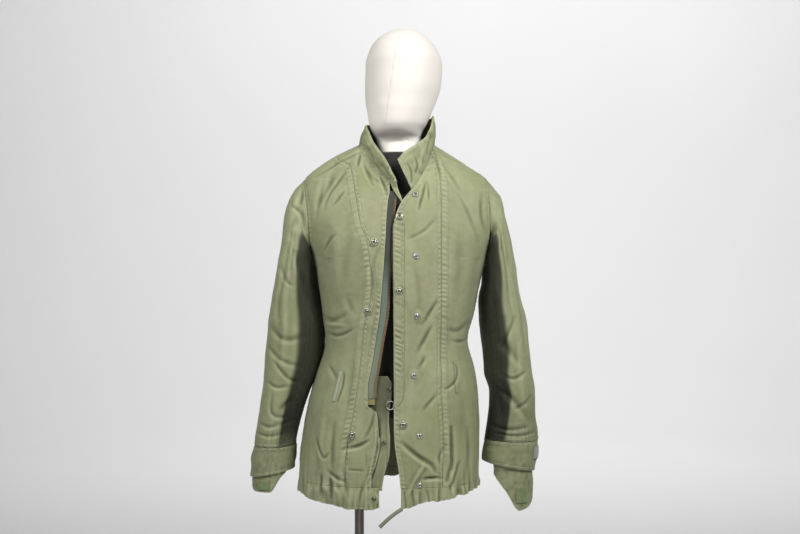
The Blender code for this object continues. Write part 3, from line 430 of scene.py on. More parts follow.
def sleeve_ring(rows, side, around, place):
    """A point of a sleeve ring: around 0 is its outer side, 90 the front, 180 the inner side."""
    sign = 1.0 if side == "left" else -1.0
    angle = np.radians(around)
    read = {name: reading(rows, name, place, "place") for name in SLEEVE_NAMES.split()[1:]}
    across = (read["outer"] - read["inner"]) / 2
    drop = (read["outer_height"] - read["inner_height"]) / 2
    middle_x = (read["outer"] + read["inner"]) / 2
    middle_z = (read["outer_height"] + read["inner_height"]) / 2
    sine = np.sin(angle)
    deep = np.where(sine > 0, read["front"], read["back"])
    skew = read["lean"] * deep
    across = np.sqrt(np.maximum(across ** 2 - skew ** 2, 0.0001)) * np.sign(across)
    y = -deep * sine
    x = middle_x + across * np.cos(angle) - read["lean"] * y
    return np.stack([sign * x, y, middle_z + drop * np.cos(angle)], axis=-1)


def sleeve_point(side, around, place):
    """A point of the sleeve, from the armhole at place 0 to the cuff seam at place 1."""
    sign = 1.0 if side == "left" else -1.0
    around, place = np.broadcast_arrays(np.asarray(around, float), np.asarray(place, float))
    hole = armhole_point(side, around)
    hole[..., 0] += sign * ARM_GAP * 0.2
    ring = sleeve_ring(SLEEVE[side], side, around, np.maximum(place, 0.06))
    share = np.clip(place / 0.06, 0.0, 1.0)[..., None]
    return hole + (ring - hole) * share


def collar_seam(place):
    """The neckline that the collar is sewn to, from the right front edge round to the left."""
    place = np.asarray(place, float)
    share = np.clip(place / COLLAR_BACK_START, 0.0, 1.0)
    right_height = COLLAR_SEAM_RIGHT + (NECK_TOP - COLLAR_SEAM_RIGHT) * share
    share = np.clip((1.0 - place) / (1.0 - COLLAR_BACK_END), 0.0, 1.0)
    left_height = COLLAR_SEAM_LEFT + (NECK_TOP - COLLAR_SEAM_LEFT) * share
    right_end = float(edge_turn("right", NECK_TOP))
    left_end = float(edge_turn("left", NECK_TOP)) - 360.0
    share = (place - COLLAR_BACK_START) / (COLLAR_BACK_END - COLLAR_BACK_START)
    turn = right_end + (left_end - right_end) * np.clip(share, 0.0, 1.0)
    turn = np.where(place < COLLAR_BACK_START, edge_turn("right", right_height), turn)
    turn = np.where(place > COLLAR_BACK_END, edge_turn("left", left_height), turn)
    height = np.where(place < COLLAR_BACK_START, right_height, NECK_TOP)
    height = np.where(place > COLLAR_BACK_END, left_height, height)
    return ring_point(BODY, turn, height)


def collar_point(place, rise):
    """A point of the collar band: rise 0 is the neck seam, 1 the top edge."""
    place, rise = np.broadcast_arrays(np.asarray(place, float), np.asarray(rise, float))
    seam = collar_seam(place)
    names = ("x", "y", "height")
    top = np.stack([reading(COLLAR_TOP, name, place, "place") for name in names], axis=-1)
    along = top - seam
    length = np.linalg.norm(along, axis=-1, keepdims=True)
    foot = seam - along * (2 * LAY_GAP / length)
    point = foot + (top - foot) * rise[..., None]
    outward = point * np.array([1.0, 1.0, 0.0])
    outward /= np.maximum(np.linalg.norm(outward, axis=-1, keepdims=True), 0.001)
    return point + outward * (COLLAR_BULGE * np.sin(math.pi * rise))[..., None]

# ---------------------------------------------------------------- folds, dents and puckers

TAU = 2 * math.pi
PUCKER = 0.0009             # half the height of a seam's puckers
SHARPNESS = 0.72            # how tightly worn folds are pressed
SOFT = 1.35                 # the same for the back's broad soft folds
LIP_SHARE = 0.55            # how much of a fold's lip is left after wear

# Each fold runs through its points (x, height), seen from the front. Depth is out of the cloth;
# a negative depth is a trough. "lip" raises the cloth on the fold's left side, as a turned fold does.
FOLD_NAMES = "width depth lip path"


def folds(*rows):
    return table(FOLD_NAMES, *rows)


FRONT_FOLDS = folds(
    # shoulder, wearer's right
    (0.0110, -0.0042, 0.0, ((-0.132, 1.487), (-0.142, 1.457), (-0.163, 1.422))),
    (0.0050, -0.0020, 0.0, ((-0.109, 1.447), (-0.131, 1.418))),
    (0.0070, -0.0024, 0.3, ((-0.151, 1.470), (-0.160, 1.440), (-0.166, 1.395))),
    # shoulder seams
    (0.0034, -0.0016, 0.0, ((-0.077, 1.527), (-0.120, 1.507), (-0.168, 1.478))),
    (0.0034, -0.0016, 0.0, ((0.076, 1.528), (0.120, 1.507), (0.166, 1.478))),
    # neck and lapels
    (0.0045, -0.0044, 0.5, ((0.051, 1.462), (0.043, 1.436), (0.037, 1.411))),
    (0.0042, -0.0034, 0.5, ((0.067, 1.534), (0.075, 1.502), (0.081, 1.470))),
    (0.0060, 0.0018, 0.0, ((0.080, 1.498), (0.113, 1.451), (0.147, 1.391))),
    (0.0045, -0.0030, 0.4, ((-0.080, 1.522), (-0.084, 1.497))),
    (0.0050, -0.0030, 0.4, ((-0.072, 1.500), (-0.062, 1.478), (-0.053, 1.460))),
    (0.0042, -0.0032, 0.4, ((-0.0375, 1.471), (-0.027, 1.449), (-0.027, 1.434))),
    (0.0050, -0.0026, 0.3, ((-0.104, 1.492), (-0.122, 1.466), (-0.142, 1.440), (-0.150, 1.412))),
    (0.0050, -0.0022, 0.2, ((-0.150, 1.330), (-0.138, 1.352), (-0.126, 1.360))),
    (0.0055, -0.0020, 0.2, ((0.016, 1.352), (0.044, 1.364), (0.066, 1.388))),
    (0.0036, -0.0022, 0.0, ((0.054, 1.462), (0.056, 1.428))),
    (0.0050, -0.0020, 0.0, ((-0.070, 1.494), (-0.058, 1.474), (-0.035, 1.460))),
    (0.0040, -0.0018, 0.0, ((-0.039, 1.474), (-0.023, 1.437))),
    # broad soft swells and hollows of chest and skirt
    (0.0160, -0.0026, 0.0, ((-0.104, 1.400), (-0.100, 1.330), (-0.112, 1.262))),
    (0.0140, 0.0024, 0.0, ((-0.126, 1.380), (-0.128, 1.320), (-0.120, 1.262))),
    (0.0150, -0.0024, 0.0, ((0.112, 1.372), (0.116, 1.300), (0.108, 1.236))),
    (0.0140, 0.0022, 0.0, ((0.134, 1.350), (0.136, 1.290), (0.128, 1.230))),
    (0.0130, -0.0026, 0.0, ((0.028, 1.300), (0.040, 1.240), (0.034, 1.180))),
    (0.0160, -0.0030, 0.0, ((-0.088, 1.130), (-0.100, 1.060), (-0.098, 0.996))),
    (0.0160, -0.0028, 0.0, ((0.118, 1.064), (0.128, 1.010), (0.124, 0.940))),
    # centre front, wearer's right: the long soft roll beside the zip
    (0.0060, -0.0034, 0.5,
     ((-0.041, 1.336), (-0.050, 1.306), (-0.055, 1.287), (-0.054, 1.252), (-0.056, 1.232))),
    (0.0045, -0.0016, 0.0, ((-0.048, 1.205), (-0.056, 1.170), (-0.066, 1.120))),
    (0.0055, -0.0036, 0.4, ((-0.048, 1.027), (-0.054, 0.996), (-0.062, 0.977), (-0.071, 0.961))),
    (0.0045, -0.0032, 0.4,
     ((-0.044, 0.994), (-0.041, 0.963), (-0.046, 0.934), (-0.052, 0.909), (-0.056, 0.886))),
    # armhole and chest, wearer's left
    (0.0080, -0.0024, 0.0, ((0.087, 1.503), (0.131, 1.416), (0.154, 1.349))),
    (0.0075, -0.0030, 0.3, ((0.162, 1.440), (0.160, 1.396), (0.170, 1.366))),
    # waist, wearer's right
    (0.0090, -0.0030, 0.2, ((-0.158, 1.200), (-0.132, 1.190), (-0.106, 1.205))),
    (0.0060, -0.0028, 0.3, ((-0.146, 1.166), (-0.120, 1.160), (-0.092, 1.176))),
    (0.0085, -0.0016, 0.0, ((-0.104, 1.238), (-0.092, 1.206))),
    (0.0050, 0.0018, 0.0, ((-0.150, 1.184), (-0.110, 1.182))),
    # waist, wearer's left: drags that run down to the fly
    (0.0065, -0.0030, 0.3, ((0.073, 1.233), (0.045, 1.186))),
    (0.0070, -0.0034, 0.3, ((0.061, 1.180), (0.034, 1.132))),
    (0.0060, -0.0024, 0.2, ((0.049, 1.122), (0.037, 1.101))),
    (0.0060, -0.0026, 0.2, ((0.071, 1.049), (0.045, 1.020))),
    (0.0080, -0.0030, 0.2, ((0.142, 1.190), (0.118, 1.168), (0.094, 1.176))),
    (0.0055, -0.0024, 0.3, ((0.150, 1.160), (0.128, 1.148), (0.104, 1.152))),
    # pockets
    (0.0032, -0.0030, 0.4, ((-0.110, 1.092), (-0.112, 1.066), (-0.119, 1.046), (-0.123, 1.034))),
    (0.0060, -0.0020, 0.0, ((-0.139, 1.102), (-0.126, 1.080))),
    (0.0036, -0.0030, -0.4, ((0.107, 1.109), (0.114, 1.094), (0.112, 1.078), (0.104, 1.066), (0.088, 1.058))),
    # skirt, wearer's right, from its front edge outwards
    (0.0055, -0.0028, 0.3,
     ((-0.0401, 0.999), (-0.0401, 0.968), (-0.0467, 0.935), (-0.0511, 0.9015), (-0.0645, 0.873))),
    (0.0045, -0.0030, 0.4, ((-0.1004, 0.9457), (-0.0778, 0.9504), (-0.0623, 0.9616))),
    (0.0045, -0.0030, 0.4, ((-0.164, 0.959), (-0.1505, 0.919), (-0.141, 0.932))),
    (0.0080, 0.0048, 0.0, ((-0.150, 0.872), (-0.141, 0.858))),
    (0.0060, 0.0040, 0.0, ((-0.127, 0.872), (-0.122, 0.858))),
    (0.0060, -0.0050, 0.4, ((-0.136, 0.888), (-0.133, 0.850))),
    (0.0070, -0.0032, 0.2, ((-0.110, 0.905), (-0.106, 0.872), (-0.098, 0.852))),
    (0.0060, -0.0028, 0.2, ((-0.060, 0.900), (-0.074, 0.868), (-0.078, 0.846))),
    (0.0060, -0.0028, 0.3, ((-0.112, 0.943), (-0.096, 0.946), (-0.077, 0.951), (-0.061, 0.962))),
    (0.0065, -0.0030, 0.2, ((-0.092, 0.964), (-0.116, 0.935))),
    (0.0100, 0.0028, 0.0, ((-0.150, 1.010), (-0.156, 0.950), (-0.150, 0.900))),
    (0.0080, -0.0030, 0.2, ((-0.128, 0.990), (-0.134, 0.940), (-0.131, 0.895))),
    (0.0060, -0.0042, 0.5, ((-0.139, 0.898), (-0.124, 0.886), (-0.110, 0.882))),
    (0.0050, -0.0034, 0.3, ((-0.154, 0.890), (-0.155, 0.858))),
    # inner pocket's edge, pressed through the cloth
    (0.0034, -0.0014, 0.0, ((-0.1045, 0.944), (-0.1035, 0.910))),
    (0.0034, -0.0018, 0.0, ((-0.1010, 0.9045), (-0.0700, 0.9035))),
    (0.0034, -0.0010, 0.0, ((-0.0655, 0.940), (-0.0660, 0.910))),
    # skirt, wearer's left: the deep fold and its ridge
    (0.0070, -0.0062, 0.5, ((0.004, 0.958), (0.023, 0.940), (0.046, 0.923), (0.062, 0.915), (0.071, 0.898))),
    (0.0060, 0.0040, 0.0, ((0.0496, 0.919), (0.0286, 0.886), (0.0131, 0.853))),
    (0.0050, -0.0034, 0.3, ((0.046, 0.887), (0.066, 0.889), (0.082, 0.8884))),
    (0.0055, -0.0036, 0.3, ((0.1004, 0.986), (0.103, 0.940), (0.1029, 0.8956))),
    (0.0055, -0.0034, 0.3, ((0.117, 0.915), (0.1017, 0.875), (0.094, 0.858))),
    (0.0055, 0.0026, 0.0, ((0.110, 0.903), (0.098, 0.876))),
    (0.0050, -0.0026, 0.2, ((0.046, 0.889), (0.071, 0.889))),
    (0.0070, -0.0034, 0.3, ((0.102, 0.983), (0.103, 0.905))),
    (0.0060, -0.0030, 0.3, ((0.101, 0.915), (0.089, 0.877))),
    (0.0080, -0.0032, 0.2, ((0.134, 0.980), (0.138, 0.925), (0.130, 0.885))),
    (0.0050, -0.0022, 0.0, ((0.086, 0.946), (0.074, 0.930), (0.080, 0.912))),
)

# Folds of the unseen back, made in the same way as the front's; x is as seen from the front.
BACK_FOLDS = folds(
    (0.0120, -0.0040, 0.2, ((-0.160, 1.410), (-0.110, 1.385), (-0.060, 1.392))),
    (0.0100, -0.0034, 0.2, ((0.150, 1.400), (0.096, 1.370), (0.048, 1.380))),
    (0.0090, -0.0034, 0.3, ((-0.130, 1.215), (-0.070, 1.190), (-0.010, 1.205))),
    (0.0080, -0.0034, 0.3, ((-0.120, 1.165), (-0.040, 1.148), (0.030, 1.160))),
    (0.0090, -0.0032, 0.2, ((0.120, 1.222), (0.066, 1.196), (0.022, 1.200))),
    (0.0080, -0.0034, 0.3, ((0.118, 1.150), (0.080, 1.138), (0.044, 1.146))),
    (0.0130, -0.0040, 0.0, ((-0.110, 1.120), (-0.120, 1.010), (-0.112, 0.900))),
    (0.0150, 0.0038, 0.0, ((-0.060, 1.110), (-0.066, 1.000), (-0.058, 0.890))),
    (0.0120, -0.0038, 0.0, ((-0.010, 1.090), (-0.006, 0.990), (-0.014, 0.895))),
    (0.0140, 0.0036, 0.0, ((0.050, 1.110), (0.056, 1.010), (0.048, 0.900))),
    (0.0120, -0.0036, 0.0, ((0.100, 1.100), (0.108, 1.000), (0.100, 0.892))),
    (0.0080, -0.0022, 0.0, ((0.010, 1.500), (0.004, 1.440), (0.012, 1.400))),
)

SLEEVE_FOLDS = {
    "right": folds(
        (0.0075, -0.0056, 0.4, ((-0.192, 1.458), (-0.204, 1.413))),
        (0.0140, -0.0034, 0.0, ((-0.201, 1.400), (-0.225, 1.372), (-0.206, 1.346))),
        (0.0080, -0.0040, 0.3, ((-0.222, 1.342), (-0.230, 1.291), (-0.243, 1.220), (-0.242, 1.200))),
        (0.0070, -0.0056, 0.4, ((-0.210, 1.328), (-0.202, 1.291), (-0.184, 1.212), (-0.176, 1.191))),
        (0.0080, -0.0040, 0.4, ((-0.216, 1.036), (-0.238, 1.012))),
        (0.0060, -0.0032, 0.3, ((-0.254, 1.046), (-0.260, 1.010), (-0.249, 0.998), (-0.224, 0.997))),
        (0.0055, -0.0028, 0.3, ((-0.236, 0.981), (-0.208, 0.995))),
        (0.0060, -0.0030, 0.3, ((-0.284, 0.986), (-0.262, 0.976), (-0.240, 0.984))),
        (0.0055, -0.0028, 0.3, ((-0.290, 0.966), (-0.264, 0.958), (-0.236, 0.964))),
        (0.0090, -0.0036, 0.2, ((-0.262, 1.180), (-0.232, 1.150), (-0.196, 1.158))),
        (0.0075, -0.0032, 0.3, ((-0.266, 1.140), (-0.240, 1.112), (-0.202, 1.100))),
        (0.0120, 0.0040, 0.0, ((-0.232, 1.250), (-0.226, 1.170), (-0.236, 1.080))),
        (0.0070, -0.0040, 0.4, ((-0.216, 1.420), (-0.196, 1.408), (-0.190, 1.372))),
        (0.0060, -0.0034, 0.3, ((-0.250, 1.110), (-0.226, 1.076), (-0.200, 1.066))),
        (0.0055, -0.0030, 0.3, ((-0.262, 1.066), (-0.246, 1.056), (-0.226, 1.060))),
        (0.0060, -0.0030, 0.3, ((-0.240, 1.300), (-0.228, 1.268), (-0.216, 1.262))),
    ),
    "left": folds(
        (0.0070, -0.0050, 0.4, ((0.176, 1.442), (0.174, 1.398), (0.184, 1.366))),
        (0.0090, 0.0042, 0.0, ((0.192, 1.306), (0.204, 1.240), (0.208, 1.160))),
        (0.0065, -0.0044, 0.4, ((0.180, 1.306), (0.186, 1.272))),
        (0.0100, -0.0052, 0.4, ((0.208, 1.150), (0.236, 1.106))),
        (0.0095, -0.0050, 0.4, ((0.186, 1.068), (0.222, 1.036), (0.262, 0.988))),
        (0.0060, -0.0034, 0.3, ((0.184, 1.052), (0.186, 0.986))),
        (0.0060, -0.0032, 0.3, ((0.200, 1.046), (0.204, 0.990))),
        (0.0060, -0.0036, 0.3, ((0.176, 0.982), (0.214, 0.970), (0.256, 0.978))),
        (0.0050, -0.0030, 0.3, ((0.190, 0.964), (0.236, 0.958), (0.272, 0.966))),
        (0.0080, -0.0030, 0.2, ((0.232, 1.260), (0.244, 1.200), (0.250, 1.130))),
        (0.0090, -0.0032, 0.2, ((0.206, 1.380), (0.216, 1.330), (0.214, 1.280))),
        (0.0120, 0.0040, 0.0, ((0.238, 1.140), (0.242, 1.060), (0.250, 1.000))),
        (0.0065, -0.0036, 0.4, ((0.168, 1.440), (0.163, 1.398), (0.172, 1.366))),
        (0.0060, -0.0032, 0.3, ((0.226, 1.196), (0.214, 1.160), (0.206, 1.128))),
        (0.0055, -0.0030, 0.3, ((0.250, 1.090), (0.226, 1.072), (0.210, 1.082))),
        (0.0055, -0.0030, 0.3, ((0.262, 1.040), (0.244, 1.020), (0.226, 1.014))),
    ),
}


INNER_HANG = 0.0110         # how far the inner faces of the sleeves sag towards the body
# Painted shade in the dark slits of the armpits; here depth is how dark each one is painted.
ARMPIT_PAINTED_SHADE = {
    "right": folds((0.0065, 0.80, 0.0, ((-0.1740, 1.380), (-0.1720, 1.340), (-0.1690, 1.306))),
                   (0.0050, 0.70, 0.0, ((-0.1900, 1.330), (-0.1860, 1.290), (-0.1760, 1.220)))),
    "left": folds((0.0070, 0.84, 0.0, ((0.1900, 1.384), (0.1810, 1.345), (0.1700, 1.296))),
                  (0.0045, 0.60, 0.0, ((0.1700, 1.430), (0.1640, 1.398), (0.1720, 1.366)))),
}


def smooth(value):
    """0 to 1, with a soft start and end."""
    value = np.clip(value, 0.0, 1.0)
    return value * value * (3 - 2 * value)


def hashed(cell, seed):
    """A repeatable value from -1 to 1 for each whole number."""
    wave = np.sin(cell * 127.1 + seed * 311.7) * 43758.5453
    return 2 * (wave - np.floor(wave)) - 1


def wander(value, seed):
    """Smooth noise along one line, from -1 to 1."""
    cell = np.floor(value)
    share = smooth(value - cell)
    return hashed(cell, seed) * (1 - share) + hashed(cell + 1, seed) * share


def drift(x, z, seed):
    """Smooth noise over a surface, from about -1 to 1."""
    cx, cz = np.floor(x), np.floor(z)
    sx, sz = smooth(x - cx), smooth(z - cz)

    def corner(i, j):
        return hashed((cx + i) * 17.0 + (cz + j) * 59.0, seed)

    low = corner(0, 0) * (1 - sx) + corner(1, 0) * sx
    high = corner(0, 1) * (1 - sx) + corner(1, 1) * sx
    return low * (1 - sz) + high * sz


def rounded(path):
    """A path with its corners cut twice, so that a fold bends softly."""
    path = np.array(path, float)
    for _ in range(2 if len(path) > 2 else 0):
        near = path[:-1] * 0.75 + path[1:] * 0.25
        far = path[:-1] * 0.25 + path[1:] * 0.75
        middle = np.stack([near, far], axis=1).reshape(-1, 2)[1:-1]
        path = np.concatenate([path[:1], middle, path[-1:]])
    return path


def fold_height(rows, x, z, sharpness=SHARPNESS):
    """How far the folds push a point out, from their paths in x and height."""
    total = np.zeros(np.shape(x))
    for row in rows:
        path = rounded(row["path"])
        legs = np.linalg.norm(np.diff(path, axis=0), axis=1)
        whole = legs.sum()
        nearest = np.full(np.shape(x), 9.0)
        signed = np.zeros(np.shape(x))
        place = np.zeros(np.shape(x))
        before = 0.0
        for a, b, leg in zip(path[:-1], path[1:], legs):
            dx, dz = (b - a) / leg
            along = (x - a[0]) * dx + (z - a[1]) * dz
            held = np.clip(along, 0.0, leg)
            off_x = x - a[0] - held * dx
            off_z = z - a[1] - held * dz
            distance = np.hypot(off_x, off_z)
            closer = distance < nearest
            nearest = np.where(closer, distance, nearest)
            signed = np.where(closer, off_x * dz - off_z * dx, signed)
            place = np.where(closer, (before + held) / whole, place)
            before += leg
        taper = np.sin(math.pi * np.clip(0.06 + 0.88 * place, 0.0, 1.0)) ** 0.7
        width = sharpness * row["width"]
        shape = np.exp(-((nearest / width) ** 2))
        beside = np.exp(-(((signed - 1.5 * width) / width) ** 2))
        beside = beside * np.exp(-((nearest / (2.4 * width)) ** 4))
        total += row["depth"] * taper * (shape - LIP_SHARE * row["lip"] * beside)
    return total


OPENING_TURN = 12.0         # degrees from the middle to the open front, on the wearer's right
METRES_A_DEGREE = 0.0030    # about how far one degree goes round the body


def around_body(x, y):
    """The distance round the garment, counted from the front opening so that nothing jumps elsewhere."""
    return ((np.degrees(np.arctan2(x, -y)) + OPENING_TURN) % 360.0) * METRES_A_DEGREE


def body_relief(point, normal):
    """The folds of fronts and back, the soft unevenness of worn cloth, and the hem's gathers."""
    x, y, z = point[..., 0], point[..., 1], point[..., 2]
    front = smooth(-normal[..., 1] * 1.6)
    back = smooth(normal[..., 1] * 1.6)
    out = front * fold_height(FRONT_FOLDS, x, z) + 0.7 * back * fold_height(BACK_FOLDS, x, z, SOFT)
    arc = around_body(x, y)
    out += 0.0014 * drift(arc / 0.055, z / 0.070, 3) + 0.0008 * drift(arc / 0.022, z / 0.034, 5)
    gather = np.exp(-np.clip(z - HEM_SEAM, 0.0, 1.0) / 0.026) * (0.5 + 0.5 * np.abs(wander(arc / 0.030, 9)))
    out += gather * 0.0022 * wander(arc / 0.0105, 11) + gather * 0.0011 * wander(arc / 0.0048, 12)
    return out


def sleeve_relief(side):
    """The folds of a sleeve, with the other sleeve's at its back, and its sag towards the body."""

    def relief(point, normal):
        x, z = point[..., 0], point[..., 2]
        front = smooth(-normal[..., 1] * 1.5)
        back = smooth(normal[..., 1] * 1.5)
        sign = 1.0 if side == "left" else -1.0
        other = SLEEVE_FOLDS["right" if side == "left" else "left"]
        out = front * fold_height(SLEEVE_FOLDS[side], x, z)
        out += 0.8 * back * fold_height(other, -x + sign * 0.012, z + 0.010)
        around = normal[..., 0] * 0.05 + normal[..., 1] * 0.02
        out += 0.0011 * drift(around / 0.022, z / 0.050, 21 + sign)
        out += 0.0004 * drift(around / 0.012, z / 0.018, 23)
        puff = np.exp(-np.abs(z - 0.955) / 0.018)
        inner = smooth(-sign * normal[..., 0] * 1.4)
        hang = smooth((1.395 - z) / 0.05) * smooth((z - 1.00) / 0.14)
        return out + puff * 0.0012 * wander(around / 0.0040, 27) + INNER_HANG * inner * hang

    return relief


def sleeve_shade(side):
    """How much darker the sleeve is painted, all of it painted shade: on its inner face, in the armpit slits
    and towards the cuff.
    """
    sign = 1.0 if side == "left" else -1.0

    def shade(point, normal):
        x, z = point[..., 0], point[..., 2]
        # Painted shade on the inner face that turns towards the body.
        inner = smooth((-sign * normal[..., 0] - 0.34) / 0.18) * smooth((0.62 - normal[..., 1]) / 0.5)
        inner = inner * smooth((1.385 - z) / 0.03) * (0.62 + 0.38 * smooth((z - 0.93) / 0.05))
        front = smooth(-normal[..., 1] * 1.5)
        # Painted shade in the armpit slits, and towards the cuff, more on the left sleeve.
        armpit_painted_shade = np.clip(front * fold_height(ARMPIT_PAINTED_SHADE[side], x, z), 0.0, 1.0)
        low_painted_shade = (0.20 if side == "left" else 0.04) * smooth((1.07 - z) / 0.07)
        return np.clip(0.88 * inner + armpit_painted_shade + low_painted_shade, 0.0, 0.92)

    return shade


def casing_relief(point, normal):
    """The hem casing follows the panels at its seam and puffs out between its gathers."""
    x, y, z = point[..., 0], point[..., 1], point[..., 2]
    arc = around_body(x, y)
    share = np.clip((HEM_SEAM - z) / 0.036, 0.0, 1.0)
    puff = np.sin(math.pi * np.clip(share, 0, 1)) * (0.0012 + 0.0022 * wander(arc / 0.013, 31))
    slant = arc + 0.25 * (HEM_SEAM - z) * wander(arc / 0.050, 37)
    tuck = 0.0022 * wander(slant / 0.0115, 33) * smooth(share * 3.0)
    tuck += 0.0009 * wander(slant / 0.0042, 34) * smooth(share * 3.0)
    return body_relief(point, normal) + puff + tuck


# ---------------------------------------------------------------- making shells of cloth

PARENT = "garment_and_form"
# The one body that every piece made here is attached to.
FELL = 0.0140               # width of the felled band beside a princess seam
ROW = 0.0060                # width of an ordinary stitched band
TONE_REACH = 0.0058         # how near the cloth's own mean height is taken
TONE_HEIGHT = 0.0010        # the rise or dip from it that is painted fully pale, as wear and painted highlight, or fully dark, as painted shade


def grid_normals(points, outward, closed):
    """Unit normals of a grid of points, rows along v and columns along u."""
    if closed:
        across = np.roll(points, -1, axis=1) - np.roll(points, 1, axis=1)
    else:
        across = np.gradient(points, axis=1)
    along = np.gradient(points, axis=0)
    normal = np.cross(across, along)
    return outward * normal / np.maximum(np.linalg.norm(normal, axis=-1, keepdims=True), 1e-12)


def seam_pucker(distance, along, band, seed):
    """The ladder of puckers across a felled seam's band, and shorter drags that run out of it."""
    pitch = along / 0.0098 + 0.45 * wander(along / 0.026, seed)
    share = np.clip(distance / band, 0.0, 1.0)
    across = np.sin(math.pi * share) ** 0.7
    fullness = 0.55 + 0.45 * wander(along / 0.045, seed + 2)
    ladder = np.cos(TAU * pitch + 2.0 * share) * across * fullness
    drag = wander((along + 0.35 * distance) / 0.0085, seed + 1)
    drag = drag * np.exp(-((distance / (1.7 * band)) ** 2)) * smooth(distance / 0.004)
    rows = np.exp(-(((distance - 0.0018) / 0.0016) ** 2)) + np.exp(-(((distance - band) / 0.0016) ** 2))
    plateau = 0.0005 * (1 - smooth((distance - band) / 0.002)) * smooth(distance / 0.002)
    return PUCKER * ladder + 0.6 * PUCKER * drag - 0.0005 * rows + plateau


def blurred(values, reach, closed):
    """The mean of a grid of values over a square of cells, reach on each side."""
    for axis in (0, 1):
        padding = [(0, 0), (0, 0)]
        padding[axis] = (reach, reach)
        padded = np.pad(values, padding, mode="wrap" if closed and axis == 1 else "edge")
        length = values.shape[axis]
        parts = [np.take(padded, range(k, k + length), axis=axis) for k in range(2 * reach + 1)]
        values = sum(parts) / len(parts)
    return values


def mesh_object(name, points, faces, attributes=None):
    """A smooth mesh with a value for each point under each attribute's name."""
    mesh = bpy.data.meshes.new(name)
    points = np.asarray(points, float).reshape(-1, 3) + np.array([GARMENT_X, 0.0, 0.0])
    faces = np.asarray(faces, int)
    mesh.vertices.add(len(points))
    mesh.vertices.foreach_set("co", points.astype(np.float32).ravel())
    mesh.loops.add(faces.size)
    mesh.loops.foreach_set("vertex_index", faces.ravel())
    mesh.polygons.add(len(faces))
    mesh.polygons.foreach_set("loop_start", np.arange(len(faces)) * faces.shape[1])
    mesh.update(calc_edges=True)
    mesh.shade_smooth()
    for key, values in (attributes or {}).items():
        layer = mesh.attributes.new(key, "FLOAT", "POINT")
        layer.data.foreach_set("value", np.asarray(values, np.float32).ravel())
    piece = bpy.data.objects.new(name, mesh)
    bpy.context.scene.collection.objects.link(piece)
    return piece


